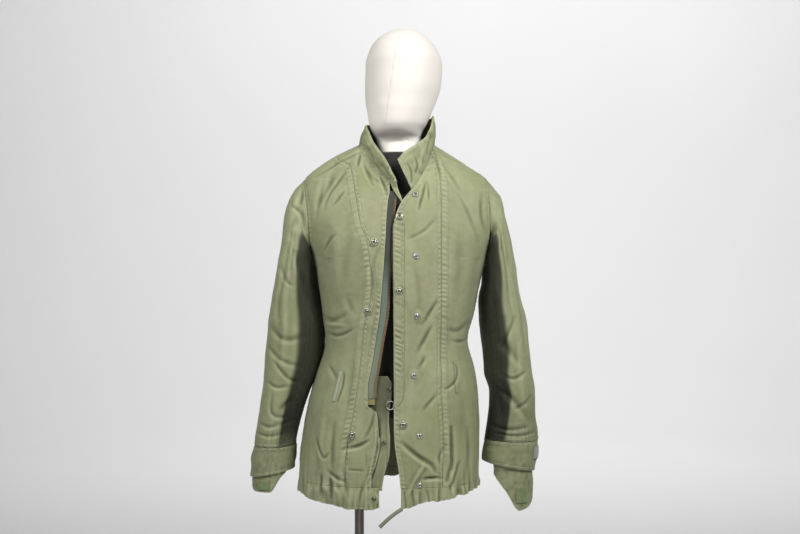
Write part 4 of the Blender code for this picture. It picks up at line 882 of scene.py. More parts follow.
def make_cloth(name, surface, size, step, thickness, material, seams=None, relief=None, lift=0.0,
               outward=1.0, closed=False, node=None, shade=0.0, calm="", free=""):
    """A thin shell of cloth over a surface of u and v, with its flat size given.

    seams gives the width of the stitched band on the sides l, r, b and t. The folds die out towards
    the sides named in calm, and the sides named in free are rubbed pale. shade darkens the cloth as
    painted shade.
    """
    columns = max(int(size[0] / step), 3)
    rows = max(int(size[1] / step), 3)
    us = np.linspace(0, 1, columns + 1)
    us = us[:-1] if closed else us
    v_grid, u_grid = np.meshgrid(np.linspace(0, 1, rows + 1), us, indexing="ij")
    base = surface(u_grid, v_grid)
    normal = grid_normals(base, outward, closed)
    across = np.linalg.norm(np.diff(base, axis=1), axis=-1)
    across = np.concatenate([np.zeros((rows + 1, 1)), np.cumsum(across, axis=1)], axis=1)
    along = np.linalg.norm(np.diff(base, axis=0), axis=-1)
    along = np.concatenate([np.zeros((1, base.shape[1])), np.cumsum(along, axis=0)], axis=0)
    sides = {
        "l": (across, along),
        "r": (across[:, -1:] - across, along),
        "b": (along, across),
        "t": (along[-1:] - along, across),
    }
    out = np.full(base.shape[:2], float(lift))
    if relief is not None:
        pushed = relief(base, normal)
        for side in calm:
            pushed = pushed * smooth(sides[side][0] / 0.014)
        out = out + pushed
    seam = np.full(base.shape[:2], 1.0)
    run = np.zeros(base.shape[:2])
    band = np.full(base.shape[:2], 0.006)
    for number, (side, width) in enumerate((seams or {}).items()):
        distance, length = sides[side]
        pucker = seam_pucker(distance, length, width, 40 + 3 * number + len(name))
        out = out + pucker * smooth(distance / 0.003)
        closer = distance < seam
        run = np.where(closer, length, run)
        band = np.where(closer, width, band)
        seam = np.where(closer, distance, seam)
    edge = np.ones(base.shape[:2])
    for side in free:
        edge = np.minimum(edge, sides[side][0])
    # tone is each point's rise or dip from the cloth's local mean; the material paints rises pale and dips
    # dark, as painted highlight and painted shade.
    reach = max(int(round(TONE_REACH / step)), 1)
    tone = np.clip((out - blurred(out, reach, closed)) / TONE_HEIGHT, -1.0, 1.0)
    dark = shade(base, normal) if callable(shade) else np.full(base.shape[:2], float(shade))
    outer = base + normal * out[..., None]
    normal = grid_normals(outer, outward, closed)
    inner = outer - normal * thickness
    width = outer.shape[1]
    count = outer.shape[0] * width
    number = np.arange(count).reshape(outer.shape[:2])
    after = np.roll(number, -1, axis=1) if closed else number[:, 1:]
    here = number if closed else number[:, :-1]
    face = np.stack([here[:-1], after[:-1], after[1:], here[1:]], axis=-1).reshape(-1, 4)
    rims = []
    for row, flip in ((0, False), (-1, True)):
        rim = np.stack([after[row], here[row], count + here[row], count + after[row]], axis=-1)
        rims.append(rim[:, ::-1] if flip else rim)
    if not closed:
        for column, flip in ((0, False), (-1, True)):
            a, b = number[:-1, column], number[1:, column]
            rim = np.stack([a, b, count + b, count + a], axis=-1)
            rims.append(rim[:, ::-1] if flip else rim)
    everything = np.concatenate([face, count + face[:, ::-1]] + rims)
    if outward < 0:
        everything = everything[:, ::-1]
    attributes = {
        "inside": np.concatenate([np.zeros(count), np.ones(count)]),
        "tone": np.concatenate([tone.ravel(), np.zeros(count)]),
    }
    both_faces = {"seam": seam, "run": run, "band": band, "edge": edge, "warp": across, "weft": along,
                  "shade": dark}
    attributes.update({key: np.concatenate([values.ravel()] * 2) for key, values in both_faces.items()})
    points = np.concatenate([outer.reshape(-1, 3), inner.reshape(-1, 3)])
    piece = mesh_object(name, points, everything, attributes)
    piece.data.materials.append(material)
    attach(piece, PARENT)
    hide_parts(node or name.replace("_cloth", ""))
    area = 0.0
    for a, b, c in ((0, 1, 2), (0, 2, 3)):
        p = base.reshape(-1, 3)[face]
        area += np.linalg.norm(np.cross(p[:, b] - p[:, a], p[:, c] - p[:, a]), axis=1).sum() / 2
    wide, long = float(across[:, -1].max()), float(along[-1].max())
    if closed:
        wide += float(np.linalg.norm(base[:, 0] - base[:, -1], axis=-1).max())
    area = min(float(area), wide * long)


# ---------------------------------------------------------------- materials


class Value:
    """A shader value on which ordinary arithmetic can be done."""

    def __init__(self, shader, socket):
        self.shader = shader
        self.socket = socket

    def do(self, operation, *others):
        return self.shader.add("ShaderNodeMath", {"operation": operation}, [self, *others])

    def __add__(self, other):
        return self.do("ADD", other)

    def __mul__(self, other):
        return self.do("MULTIPLY", other)

    def __sub__(self, other):
        return self.do("SUBTRACT", other)

    def __rsub__(self, other):
        return self.shader.add("ShaderNodeMath", {"operation": "SUBTRACT"}, [other, self])

    def __truediv__(self, other):
        return self.do("DIVIDE", other)

    __radd__ = __add__
    __rmul__ = __mul__

    def below(self, limit):
        return self.do("LESS_THAN", limit)

    def held(self):
        return self.do("MINIMUM", 1.0).do("MAXIMUM", 0.0)


class Shader:
    """A material whose nodes are made by name."""

    def __init__(self, name, **uniform):
        self.material = bpy.data.materials.new(name)
        self.material.use_nodes = True
        self.tree = self.material.node_tree
        self.surface = self.tree.nodes["Principled BSDF"]
        for key, value in uniform.items():
            self.surface.inputs[key.replace("_", " ")].default_value = value

    def add(self, kind, settings, inputs, output=0):
        node = self.tree.nodes.new(kind)
        for key, value in settings.items():
            setattr(node, key, value)
        pairs = inputs.items() if isinstance(inputs, dict) else enumerate(inputs)
        for key, value in pairs:
            if isinstance(value, Value):
                self.tree.links.new(value.socket, node.inputs[key])
            else:
                node.inputs[key].default_value = value
        return Value(self, node.outputs[output])

    def attribute(self, name):
        return self.add("ShaderNodeAttribute", {"attribute_name": name}, [], "Fac")

    def place(self):
        return self.add("ShaderNodeTexCoord", {}, [], "Object")

    def noise(self, scale, detail=2.0, stretch=None):
        spot = self.place()
        if stretch is not None:
            spot = self.add("ShaderNodeVectorMath", {"operation": "MULTIPLY"}, [spot, stretch])
        return self.add("ShaderNodeTexNoise", {}, {"Vector": spot, "Scale": scale, "Detail": detail}, "Fac")

    def blend(self, share, first, second):
        """A mix of two colours; sockets 6 and 7 and output 2 are the mix node's colour ones."""
        settings = {"data_type": "RGBA"}
        return self.add("ShaderNodeMix", settings, {0: share, 6: first, 7: second}, 2)

    def finish(self, colour=None, roughness=None, height=None, distance=0.001, strength=1.0, metallic=None):
        wanted = {"Base Color": colour, "Roughness": roughness, "Metallic": metallic}
        if height is not None:
            names = {"Strength": strength, "Distance": distance, "Height": height}
            wanted["Normal"] = self.add("ShaderNodeBump", {}, names, "Normal")
        for key, value in wanted.items():
            if value is not None:
                self.tree.links.new(value.socket, self.surface.inputs[key])
        return self.material


def shade_of(colour, factor):
    """A colour made darker or lighter."""
    return tuple(c * factor for c in colour[:3]) + (1.0,)


SAGE = (0.272, 0.292, 0.152, 1.0)
# Pale of wear, also used as painted highlight on fold ridges.
SAGE_WORN_AND_PAINTED_HIGHLIGHT = (0.430, 0.445, 0.290, 1.0)
SAGE_FOLD = (0.205, 0.205, 0.115, 1.0)
# Dark of the felled seam lines, also used as painted shade in fold troughs.
SEAM_LINE_AND_PAINTED_SHADE = (0.075, 0.078, 0.040, 1.0)
GREYED = (0.300, 0.298, 0.205, 1.0)
STITCH_PITCH = 0.0032


def cloth_material(name, colour=SAGE, worn_and_painted_highlight=SAGE_WORN_AND_PAINTED_HIGHLIGHT, deep=SAGE_FOLD, stitched=True):
    """Worn cotton sateen: fine twill, faded edges, seam rows, a soft unevenness, and painted shade and
    painted highlight on its folds.
    """
    shader = Shader(name, Sheen_Weight=0.07, Sheen_Roughness=0.45, Specular_IOR_Level=0.24)
    warp, weft = shader.attribute("warp"), shader.attribute("weft")
    seam, run, edge = shader.attribute("seam"), shader.attribute("run"), shader.attribute("edge")
    band = shader.attribute("band")
    broad = shader.noise(9.0, 3.0)
    fine = shader.noise(85.0, 4.0)
    streak = shader.noise(30.0, 3.0, (1.0, 1.0, 0.28))
    twill = ((warp + weft * 0.5) * (TAU / 0.0011)).do("SINE")
    thread = (weft * (TAU / 0.0016)).do("SINE") * 0.5
    fade = (broad * 1.5 - 0.45 + streak * 0.5 - 0.25).held()
    base = shader.blend(fade * 0.7, shade_of(colour, 0.82), shade_of(colour, 1.20))
    grey = (shader.noise(4.5, 3.0) * 2.2 - 0.75).held()
    base = shader.blend(grey * 0.45, base, GREYED)
    base = shader.blend((fine * 1.6 - 0.62).held() * 0.75, base, deep)
    base = shader.blend((streak * 2.4 - 1.25).held() * 0.30, base, worn_and_painted_highlight)
    rub = (1.0 - edge / 0.0034).held() * (fine * 2.0)
    base = shader.blend(rub.held() * 0.85, base, worn_and_painted_highlight)
    tone = shader.attribute("tone")
    # Folds: ridges painted pale, as wear and painted highlight; troughs painted dark, as painted shade.
    base = shader.blend((tone * 0.8).held() * (fine * 0.5 + 0.10), base, worn_and_painted_highlight)
    base = shader.blend((tone * -1.0).held() * 0.66, base, SEAM_LINE_AND_PAINTED_SHADE)
    crumple = shader.noise(24.0, 4.0)
    height = twill * 0.05 + thread * 0.03 + fine * 0.35 + crumple * 6.0
    if stitched:
        within = (1.0 - seam / (band + 0.001)).held().do("SIGN")
        base = shader.blend(within * fine * 0.22, base, worn_and_painted_highlight)
        felled = 1.0 - band.below(FELL - 0.0002)
        base = shader.blend((1.0 - seam / 0.0016).held() * felled * 0.75, base, SEAM_LINE_AND_PAINTED_SHADE)
        for row in (0.0018, band):
            line = (seam - row).do("ABSOLUTE").below(0.00055)
            gap = (run / STITCH_PITCH).do("FRACT").below(0.70)
            stitch = line * gap
            base = shader.blend(stitch * 0.30, base, worn_and_painted_highlight)
            trough = (1.0 - (seam - row).do("ABSOLUTE") / 0.0013).held()
            height = height - trough * 0.9 + stitch * 0.7
    # Painted shade: the inner face is painted 45 % darker, and the shade value darkens the cloth further
    # towards black.
    dark = 1.0 - shader.attribute("inside") * 0.45 - shader.attribute("shade")
    black = (0.0, 0.0, 0.0, 1.0)
    base = shader.blend(dark.held(), black, base)
    rough = (fine * 0.22 + 0.56).held()
    return shader.finish(base, rough, height, 0.0006, 0.9)


def plain_weave(name, colour, pitch, spread=0.18):
    """Tape, braid or pile: a fine close texture in one colour."""
    shader = Shader(name, Sheen_Weight=0.3, Specular_IOR_Level=0.25)
    grain = shader.noise(1.0 / pitch, 2.0)
    broad = shader.noise(40.0, 2.0)
    base = shader.blend(grain, shade_of(colour, 1 - spread), shade_of(colour, 1 + spread))
    base = shader.blend((broad - 0.35).held() * 0.5, base, shade_of(colour, 0.7))
    return shader.finish(base, (grain * 0.2 + 0.7), grain, pitch, 0.8)


def tape_material():
    """Zip tape: painted near black above, as painted shade where it is turned in; faded blue-green and then
    grey-green below.
    """
    shader = Shader("zip_tape_weave", Sheen_Weight=0.2, Specular_IOR_Level=0.25)
    grain = shader.noise(900.0, 2.0)
    spot = shader.place()
    height = shader.add("ShaderNodeSeparateXYZ", {}, [spot], "Z")
    # The near black above 1.312 m is painted shade of the turned-in tape.
    below_painted_shade = ((1.312 - height) / 0.050).held()
    greyed = ((1.240 - height) / 0.120).held()
    base = shader.blend(below_painted_shade, (0.050, 0.053, 0.043, 1.0), (0.140, 0.190, 0.152, 1.0))
    base = shader.blend(greyed, base, (0.185, 0.220, 0.150, 1.0))
    base = shader.blend(grain * 0.4, base, (0.060, 0.070, 0.055, 1.0))
    return shader.finish(base, grain * 0.2 + 0.7, grain, 0.0011, 0.8)


def snap_material(name, centre, radius, pale, deep):
    """A pressed snap: a dark hole and a dark groove of painted shade, a bright raised ring of painted
    highlight, and a rim rubbed bright by wear and painted highlight.
    """
    shader = Shader(name, Metallic=0.75)
    spots = shader.noise(500.0, 2.0)
    spot = shader.place()
    across = shader.add("ShaderNodeSeparateXYZ", {}, [spot], "X") - centre[0]
    up = shader.add("ShaderNodeSeparateXYZ", {}, [spot], "Z") - centre[2]
    share = (across * across + up * up).do("SQRT") / radius
    ring = (1.0 - (share - 0.42).do("ABSOLUTE") / 0.16).held()
    rim = (1.0 - (share - 0.86).do("ABSOLUTE") / 0.16).held()
    raised = ring.do("MAXIMUM", rim * 0.8)
    base = shader.blend((raised * 1.5).held() * (spots * 0.5 + 0.6), deep, pale)
    return shader.finish(base, spots * 0.2 + 0.26, raised, 0.0006, 1.0)


def metal_material(name, colour, rough, worn_colour, metallic=1.0):
    """Plated or lacquered metal, dulled unevenly and rubbed bright in places."""
    shader = Shader(name, Metallic=metallic)
    spots = shader.noise(420.0, 3.0)
    broad = shader.noise(70.0, 2.0)
    base = shader.blend((spots * 1.6 - 0.5).held(), colour, worn_colour)
    return shader.finish(base, (broad * 0.25 + rough).held(), spots, 0.0003, 0.35)


def jersey_material(name, colour, rib, sheen, chin_painted_light=1.0):
    """A stretched knitted cover with fine ribs, painted paler low down as painted light under the chin, and
    painted dark along marked lines: a seam line, and painted shade in a crease.
    """
    shader = Shader(name, Sheen_Weight=sheen, Specular_IOR_Level=0.2)
    grain = shader.noise(900.0, 2.0, (1.0, 1.0, rib))
    broad = shader.noise(7.0, 2.0)
    line = shader.attribute("line")
    base = shader.blend(broad * 0.6, shade_of(colour, 0.97), shade_of(colour, 1.03))
    height = shader.add("ShaderNodeSeparateXYZ", {}, [shader.place()], "Z")
    # Painted light: below about 1.64 m the colour grows paler by the given factor, lifting the shade under
    # the chin.
    base = shader.blend(((1.640 - height) / 0.090).held(), base, shade_of(colour, chin_painted_light))
    base = shader.blend(grain * 0.25, base, shade_of(colour, 0.86))
    # Marked lines are painted dark: a seam line, and painted shade in the chin crease.
    base = shader.blend(line * 0.35, base, shade_of(colour, 0.45))
    return shader.finish(base, grain * 0.1 + 0.78, grain, 0.0003, 0.5)


def brushed_material(name, colour, rough, stretch, metallic):
    """Drawn steel or satin paint, with fine marks along one way."""
    shader = Shader(name, Metallic=metallic)
    brush = shader.noise(260.0, 3.0, stretch)
    broad = shader.noise(5.0, 3.0)
    base = shader.blend(broad, shade_of(colour, 0.8), shade_of(colour, 1.2))
    return shader.finish(base, (brush * 0.2 + rough).held(), brush, 0.0002, 0.3)


sage = cloth_material("sage_sateen")
tape_cloth = tape_material()
pocket_tape = plain_weave("pocket_zip_weave", (0.330, 0.375, 0.265, 1.0), 0.0011)
plain_sage = cloth_material("sage_plain", stitched=False)
pad_green = plain_weave("pile_green", (0.150, 0.195, 0.088, 1.0), 0.0014, 0.3)
pad_grey = plain_weave("pile_grey", (0.235, 0.245, 0.225, 1.0), 0.0014, 0.3)
cord_braid = plain_weave("braid_green", (0.190, 0.200, 0.135, 1.0), 0.0016, 0.35)
snap_metal = metal_material("snap_lacquer", (0.17, 0.175, 0.12, 1), 0.34, (0.34, 0.34, 0.27, 1), 0.55)
bright_metal = metal_material("dull_nickel", (0.50, 0.49, 0.46, 1), 0.28, (0.28, 0.27, 0.24, 1))
brass_metal = metal_material("dull_brass", (0.42, 0.36, 0.15, 1), 0.36, (0.26, 0.24, 0.14, 1))
teeth_metal = metal_material("aged_copper_teeth", (0.40, 0.25, 0.14, 1), 0.42, (0.27, 0.17, 0.10, 1), 0.6)
cream_jersey = jersey_material("cream_jersey", (0.655, 0.622, 0.570, 1.0), 0.5, 0.1, 1.42)
black_jersey = jersey_material("black_jersey", (0.022, 0.021, 0.020, 1.0), 0.5, 0.15)
pole_steel = brushed_material("pole_steel", (0.20, 0.185, 0.16, 1.0), 0.30, (1.0, 1.0, 0.02), 0.9)
base_paint = brushed_material("base_satin_paint", (0.30, 0.30, 0.30, 1.0), 0.40, (1.0, 1.0, 1.0), 0.0)

NODE_MATERIALS = {
    "zip_pull_ring": (bright_metal, "bright_metal"),
    "zip_slider": (bright_metal, "bright_metal"),
    "zip_top_stop": (snap_metal, "snap_metal"),
    "zip_box": (brass_metal, "brass"),
    "form_pole": (pole_steel, "pole_metal"),
    "form_base": (base_paint, "base_metal"),
}
# For each kind of snap, a pale colour, painted highlight on its ring and rim, and a deep colour, painted
# shade in its hole and groove.
SNAP_COLOURS = {
    "snap_cap": ((0.62, 0.63, 0.50, 1.0), (0.085, 0.088, 0.058, 1.0)),
    "snap_ring": ((0.86, 0.86, 0.84, 1.0), (0.050, 0.048, 0.042, 1.0)),
    "snap_stud": ((0.30, 0.31, 0.25, 1.0), (0.030, 0.030, 0.024, 1.0)),
}


def dress_hardware():
    """The metal of each hard node, and each snap's own face of painted highlight and painted shade, centred
    on it.
    """
    for node_name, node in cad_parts.items():
        for start, (material, finish) in NODE_MATERIALS.items():
            if node_name.startswith(start):
                for place in node.material_slots:
                    place.material = material
        for start, (pale, deep) in SNAP_COLOURS.items():
            if node_name.startswith(start):
                points = np.array([vertex.co for vertex in node.data.vertices])
                low, high = points.min(axis=0), points.max(axis=0)
                centre = [float(value) for value in (low + high) / 2]
                radius = float(high[2] - low[2]) / 2
                material = snap_material(node_name + "_metal", centre, radius, pale, deep)
                for place in node.material_slots:
                    place.material = material


dress_hardware()

# ---------------------------------------------------------------- the drawcord

CORD_START = np.array([0.0042, -0.1262, 0.8300])
CORD_END = np.array([-0.0390, -0.1330, 0.7965])
CORD_BOW = np.array([0.0, -0.002, 0.003])


def make_drawcord():
    """The free end of the hem's cord, a slightly bowed round braid."""
    count = 20
    route = [
        CORD_START + (CORD_END - CORD_START) * k / count + CORD_BOW * math.sin(math.pi * k / count)
        for k in range(count + 1)
    ]
    curve = bpy.data.curves.new("drawcord", "CURVE")
    curve.dimensions = "3D"
    curve.bevel_depth = CORD_WIDTH / 2
    curve.bevel_resolution = 6
    curve.use_fill_caps = True
    line = curve.splines.new("POLY")
    line.points.add(count)
    for point, spot in zip(line.points, route):
        point.co = (spot[0] + GARMENT_X, spot[1], spot[2], 1.0)
    curve.materials.append(cord_braid)
    piece = bpy.data.objects.new("drawcord", curve)
    bpy.context.scene.collection.objects.link(piece)
    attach(piece, PARENT)
    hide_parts("hem_drawcord")
    length = float(sum(np.linalg.norm(b - a) for a, b in zip(route[:-1], route[1:])))
    exit_point = (route[0][0] + GARMENT_X, route[0][1], route[0][2])


# ---------------------------------------------------------------- body cloth

HARD_SPOTS = table(
    "x z",
    (-0.0502, 1.345), (-0.0618, 1.210), (-0.0926, 0.971), (-0.0005, 1.396), (-0.0019, 1.251),
    (0.0058, 0.992), (0.0300, 1.438), (0.0310, 1.318), (0.0330, 1.202), (0.0270, 1.087),
    (0.0376, 0.971), (0.0376, 0.876), (-0.0205, 1.060), (-0.0310, 0.957), (-0.0500, 0.850),
    (-0.0555, 1.0355), (-0.0105, 1.4515), (-0.0240, 1.0290), (-0.0150, 1.0290), (-0.0040, 1.0290),
)


def at_rest(relief):
    """The same relief, calm round each snap, ring and zip end so that they sit on the cloth."""

    def calm(point, normal):
        out = relief(point, normal)
        for spot in HARD_SPOTS:
            away = np.hypot(point[..., 0] - spot["x"], point[..., 2] - spot["z"])
            out = out * (1 - np.exp(-((away / 0.012) ** 4)) * (point[..., 1] < 0))
        return out

    return calm


body_cloth = at_rest(body_relief)
casing_cloth = at_rest(casing_relief)


def panel(start, end, foot, top):
    """The surface between two seams, given by their turns."""

    def surface(u, v):
        height = foot + (top - foot) * v
        first = start(height)
        return ring_point(BODY, first + (end(height) - first) * u, height)

    return surface


def front_strip(left_x, right_x, foot, top, depth=None):
    """The surface of the front between two edges, given by x at each height, set back by a depth."""

    def surface(u, v):
        height = foot + (top - foot) * v
        start = turn_at(left_x(height), height)
        end = turn_at(right_x(height), height)
        spot = ring_point(BODY, start + (end - start) * u, height)
        if depth is not None:
            spot[..., 1] += depth(u, height)
        return spot

    return surface


def front_edge(side, offset=0.0):
    """The x of a front's free edge by height, with a step aside."""
    return lambda height: reading(FRONT_EDGE, side, height) + offset


def rolled(relief, side):
    """The relief of a front, with its turned edge a little thicker."""

    def relief_with_edge(point, normal):
        edge_x = reading(FRONT_EDGE, side, point[..., 2])
        return relief(point, normal) + 0.0009 * np.exp(-(((point[..., 0] - edge_x) / 0.0026) ** 2))

    return relief_with_edge


def make_panels():
    """The fronts, side fronts and back, from the hem seam up."""
    rows = table(
        "name start end top size step seams calm free relief",
        ("front_right", lambda h: seam_turn("right", h), lambda h: edge_turn("right", h), NECK_TOP,
         (0.075, 0.675), 0.0017, {"l": ROW, "r": 0.009}, "", "r", rolled(body_cloth, "right")),
        ("side_front_right", lambda h: outer_turn("right", h), lambda h: seam_turn("right", h),
         SEAM_POINT["right"],
         (0.150, 0.650), 0.0020, {"r": FELL, "l": ROW}, "l", "", body_cloth),
        ("front_left", lambda h: edge_turn("left", h), lambda h: seam_turn("left", h),
         SEAM_POINT["left"],
         (0.092, 0.650), 0.0017, {"r": ROW, "l": 0.009}, "", "l", rolled(body_cloth, "left")),
        ("side_front_left", lambda h: seam_turn("left", h), lambda h: outer_turn("left", h), NECK_TOP,
         (0.130, 0.675), 0.0020, {"l": FELL, "r": ROW}, "r", "", body_cloth),
        ("back", lambda h: outer_turn("left", h, True), lambda h: 360.0 + outer_turn("right", h, True),
         NECK_TOP,
         (0.520, 0.675), 0.0036, {"l": ROW, "r": ROW, "t": ROW}, "lr", "", body_cloth),
    )
    for row in rows:
        surface = panel(row["start"], row["end"], HEM_SEAM, row["top"])
        make_cloth(row["name"] + "_cloth", surface, row["size"], row["step"], CLOTH, sage,
                   seams=row["seams"], relief=row["relief"], calm=row["calm"], free=row["free"])


CASING_ENDS = {"right": -0.0405, "left": 0.0020}      # x where the drawcord casing stops in front


def make_hem():
    """The gathered drawcord casing, in three lengths."""
    half_gap = float(gap_turn(HEM_SEAM))
    right_edge = float(turn_at(CASING_ENDS["right"], HEM_SEAM))
    left_edge = float(turn_at(CASING_ENDS["left"], HEM_SEAM))
    spans = {
        "hem_casing_right": (-90.0 + half_gap, right_edge, 0.21),
        "hem_casing_left": (left_edge, 90.0 - half_gap, 0.22),
        "hem_casing_back": (90.0 + half_gap, 270.0 - half_gap, 0.50),
    }
    for name, (start, end, wide) in spans.items():

        def surface(u, v, start=start, end=end):
            turn = start + (end - start) * u
            wrapped = (turn + 180.0) % 360.0 - 180.0
            foot = reading(HEM, "height", wrapped, "turn")
            foot = foot + 0.0020 * wander((wrapped + 180.0) / 4.6, 35)
            foot = foot + 0.0008 * wander((wrapped + 180.0) / 1.9, 36)
            return ring_point(BODY, turn, foot + (HEM_SEAM - foot) * v)

        make_cloth(name + "_cloth", surface, (wide, 0.036), 0.0018, DOUBLE_CLOTH, sage,
                   relief=casing_cloth, free="b")


COLLAR_FOLDS = folds(
    (0.0046, -0.0036, 0.5, ((-0.0705, 1.541), (-0.0620, 1.526), (-0.0520, 1.509))),
    (0.0040, -0.0020, 0.2, ((-0.0440, 1.508), (-0.0300, 1.486), (-0.0140, 1.466))),
    (0.0040, -0.0022, 0.3, ((0.0640, 1.560), (0.0560, 1.536), (0.0520, 1.515))),
    (0.0036, -0.0020, 0.3, ((0.0300, 1.512), (0.0350, 1.496), (0.0300, 1.480))),
    (0.0036, -0.0018, 0.3, ((0.0140, 1.500), (0.0240, 1.482), (0.0220, 1.462))),
    (0.0040, 0.0016, 0.0, ((0.0460, 1.530), (0.0400, 1.505), (0.0420, 1.486))),
)


def collar_relief(point, _normal):
    """The creases and soft dents of the collar."""
    x, y, z = point[..., 0], point[..., 1], point[..., 2]
    arc = 0.45 * around_body(x, y)
    front = smooth(-y / 0.03)
    soft = 0.0012 * drift(arc / 0.026, z / 0.013, 61) + 0.0006 * drift(arc / 0.011, z / 0.009, 62)
    return soft + front * fold_height(COLLAR_FOLDS, x, z)


def make_collar():
    """The stand collar."""
    make_cloth("collar_cloth", collar_point, (0.420, 0.060), 0.0019, DOUBLE_CLOTH, sage,
               seams={"t": 0.008, "l": 0.008, "r": 0.008}, relief=collar_relief, free="tlr", outward=-1.0)


COLLAR_TIP = table(
    "height left right",
    (1.4240, 0.0030, 0.0056),
    (1.4370, -0.0058, 0.0012),
    (1.4465, -0.0120, -0.0028),
    (1.4640, -0.0205, -0.0066),
    (1.4700, -0.0225, -0.0076),
)
COLLAR_TIP_DEPTH = 0.0042  # how far it lies behind the fronts


def make_collar_tip():
    """The lower tip of the collar's inner leaf, which turns down behind the zip's end."""
    strip = front_strip(lambda h: reading(COLLAR_TIP, "left", h), lambda h: reading(COLLAR_TIP, "right", h),
                        COLLAR_TIP[0]["height"], COLLAR_TIP[-1]["height"], lambda u, h: COLLAR_TIP_DEPTH)
    make_cloth("collar_tip_cloth", strip, (0.016, 0.046), 0.0012, CLOTH, sage, seams={"r": 0.0045},
               free="r", node="collar")


def make_sleeves():
    """Upper and under sleeve of each side, with the cuff."""
    for side in ("right", "left"):
        outward = -1.0 if side == "right" else 1.0
        step = 360.0 / SLEEVE_COLUMNS
        spans = {
            "sleeve_upper_" + side: (-4 * step, 6 * step, 0.230, 0.560),
            "sleeve_under_" + side: (6 * step, 12 * step, 0.120, 0.440),
        }
        for name, (start, end, wide, long) in spans.items():

            def surface(u, v, start=start, end=end, side=side):
                return sleeve_point(side, start + (end - start) * u, v)

            make_cloth(name + "_cloth", surface, (wide, long), 0.0024, CLOTH, sage,
                       seams={"l": ROW, "r": ROW, "t": ROW}, relief=sleeve_relief(side), calm="b",
                       outward=outward, shade=sleeve_shade(side))
        make_cuff(side, outward)


def cuff_relief(point, normal):
    """The soft dents of cuffs and hand flaps."""
    around = normal[..., 0] * 0.05 + normal[..., 1] * 0.02
    broad = 0.0018 * drift(around / 0.020, point[..., 2] / 0.024, 71)
    return broad + 0.0008 * drift(around / 0.008, point[..., 2] / 0.009, 72)


def make_cuff(side, outward):
    """A cuff band, the hand flap inside it and what is sewn on both."""
    rows = CUFF[side]
    # The cuff is painted a little darker all over, as painted shade.
    make_cloth("cuff_%s_cloth" % side, lambda u, v: sleeve_ring(rows, side, 360.0 * u, 0.012 + 0.988 * v),
               (0.320, 0.060), 0.0024, DOUBLE_CLOTH, sage, seams={"t": ROW, "b": ROW}, relief=cuff_relief,
               outward=outward, closed=True, shade=0.12, free="t")
    flap_rows = HAND_FLAP[side]
    first, last = flap_rows[0]["round"], flap_rows[-1]["round"]

    def flap_at(around, height):
        upper = sleeve_ring(rows, side, around, 0.0)[..., 2]
        lower = sleeve_ring(rows, side, around, 1.0)[..., 2]
        spot = sleeve_ring(rows, side, around, np.clip((upper - height) / (upper - lower), 0.0, 1.0))
        spot[..., 2] = height
        return spot

    def flap(u, v):
        around = first + (last - first) * u
        foot = reading(flap_rows, "foot", around, "round")
        return flap_at(around, FLAP_ROOT[side] + (foot - FLAP_ROOT[side]) * v)

    # The hand flap is painted darker, as painted shade inside the cuff.
    make_cloth("hand_flap_%s_cloth" % side, flap, (0.110, 0.070), 0.0020, CLOTH, sage,
               seams={"l": 0.005, "r": 0.005, "t": 0.005}, relief=cuff_relief, lift=-FLAP_DEPTH,
               outward=outward, shade=0.14, free="lrt")
    pad_start, pad_end, pad_foot, pad_top = FLAP_PAD[side]

    def pad(u, v):
        return flap_at(pad_start + (pad_end - pad_start) * u, pad_top + (pad_foot - pad_top) * v)

    make_cloth("flap_pad_%s_cloth" % side, pad, (0.030, 0.025), 0.0018, TAPE, pad_green,
               relief=cuff_relief, lift=-FLAP_DEPTH + LAY_GAP + TAPE, outward=outward)
    if side == "left":
        tab_start, tab_end, tab_top, tab_foot = CUFF_TAB
        make_cloth("cuff_tab_left_cloth",
                   lambda u, v: sleeve_ring(rows, side, tab_start + (tab_end - tab_start) * u,
                                            tab_top + (tab_foot - tab_top) * v),
                   (0.034, 0.022), 0.0018, TAPE, pad_grey, relief=cuff_relief, lift=LAY_GAP + TAPE,
                   outward=outward)


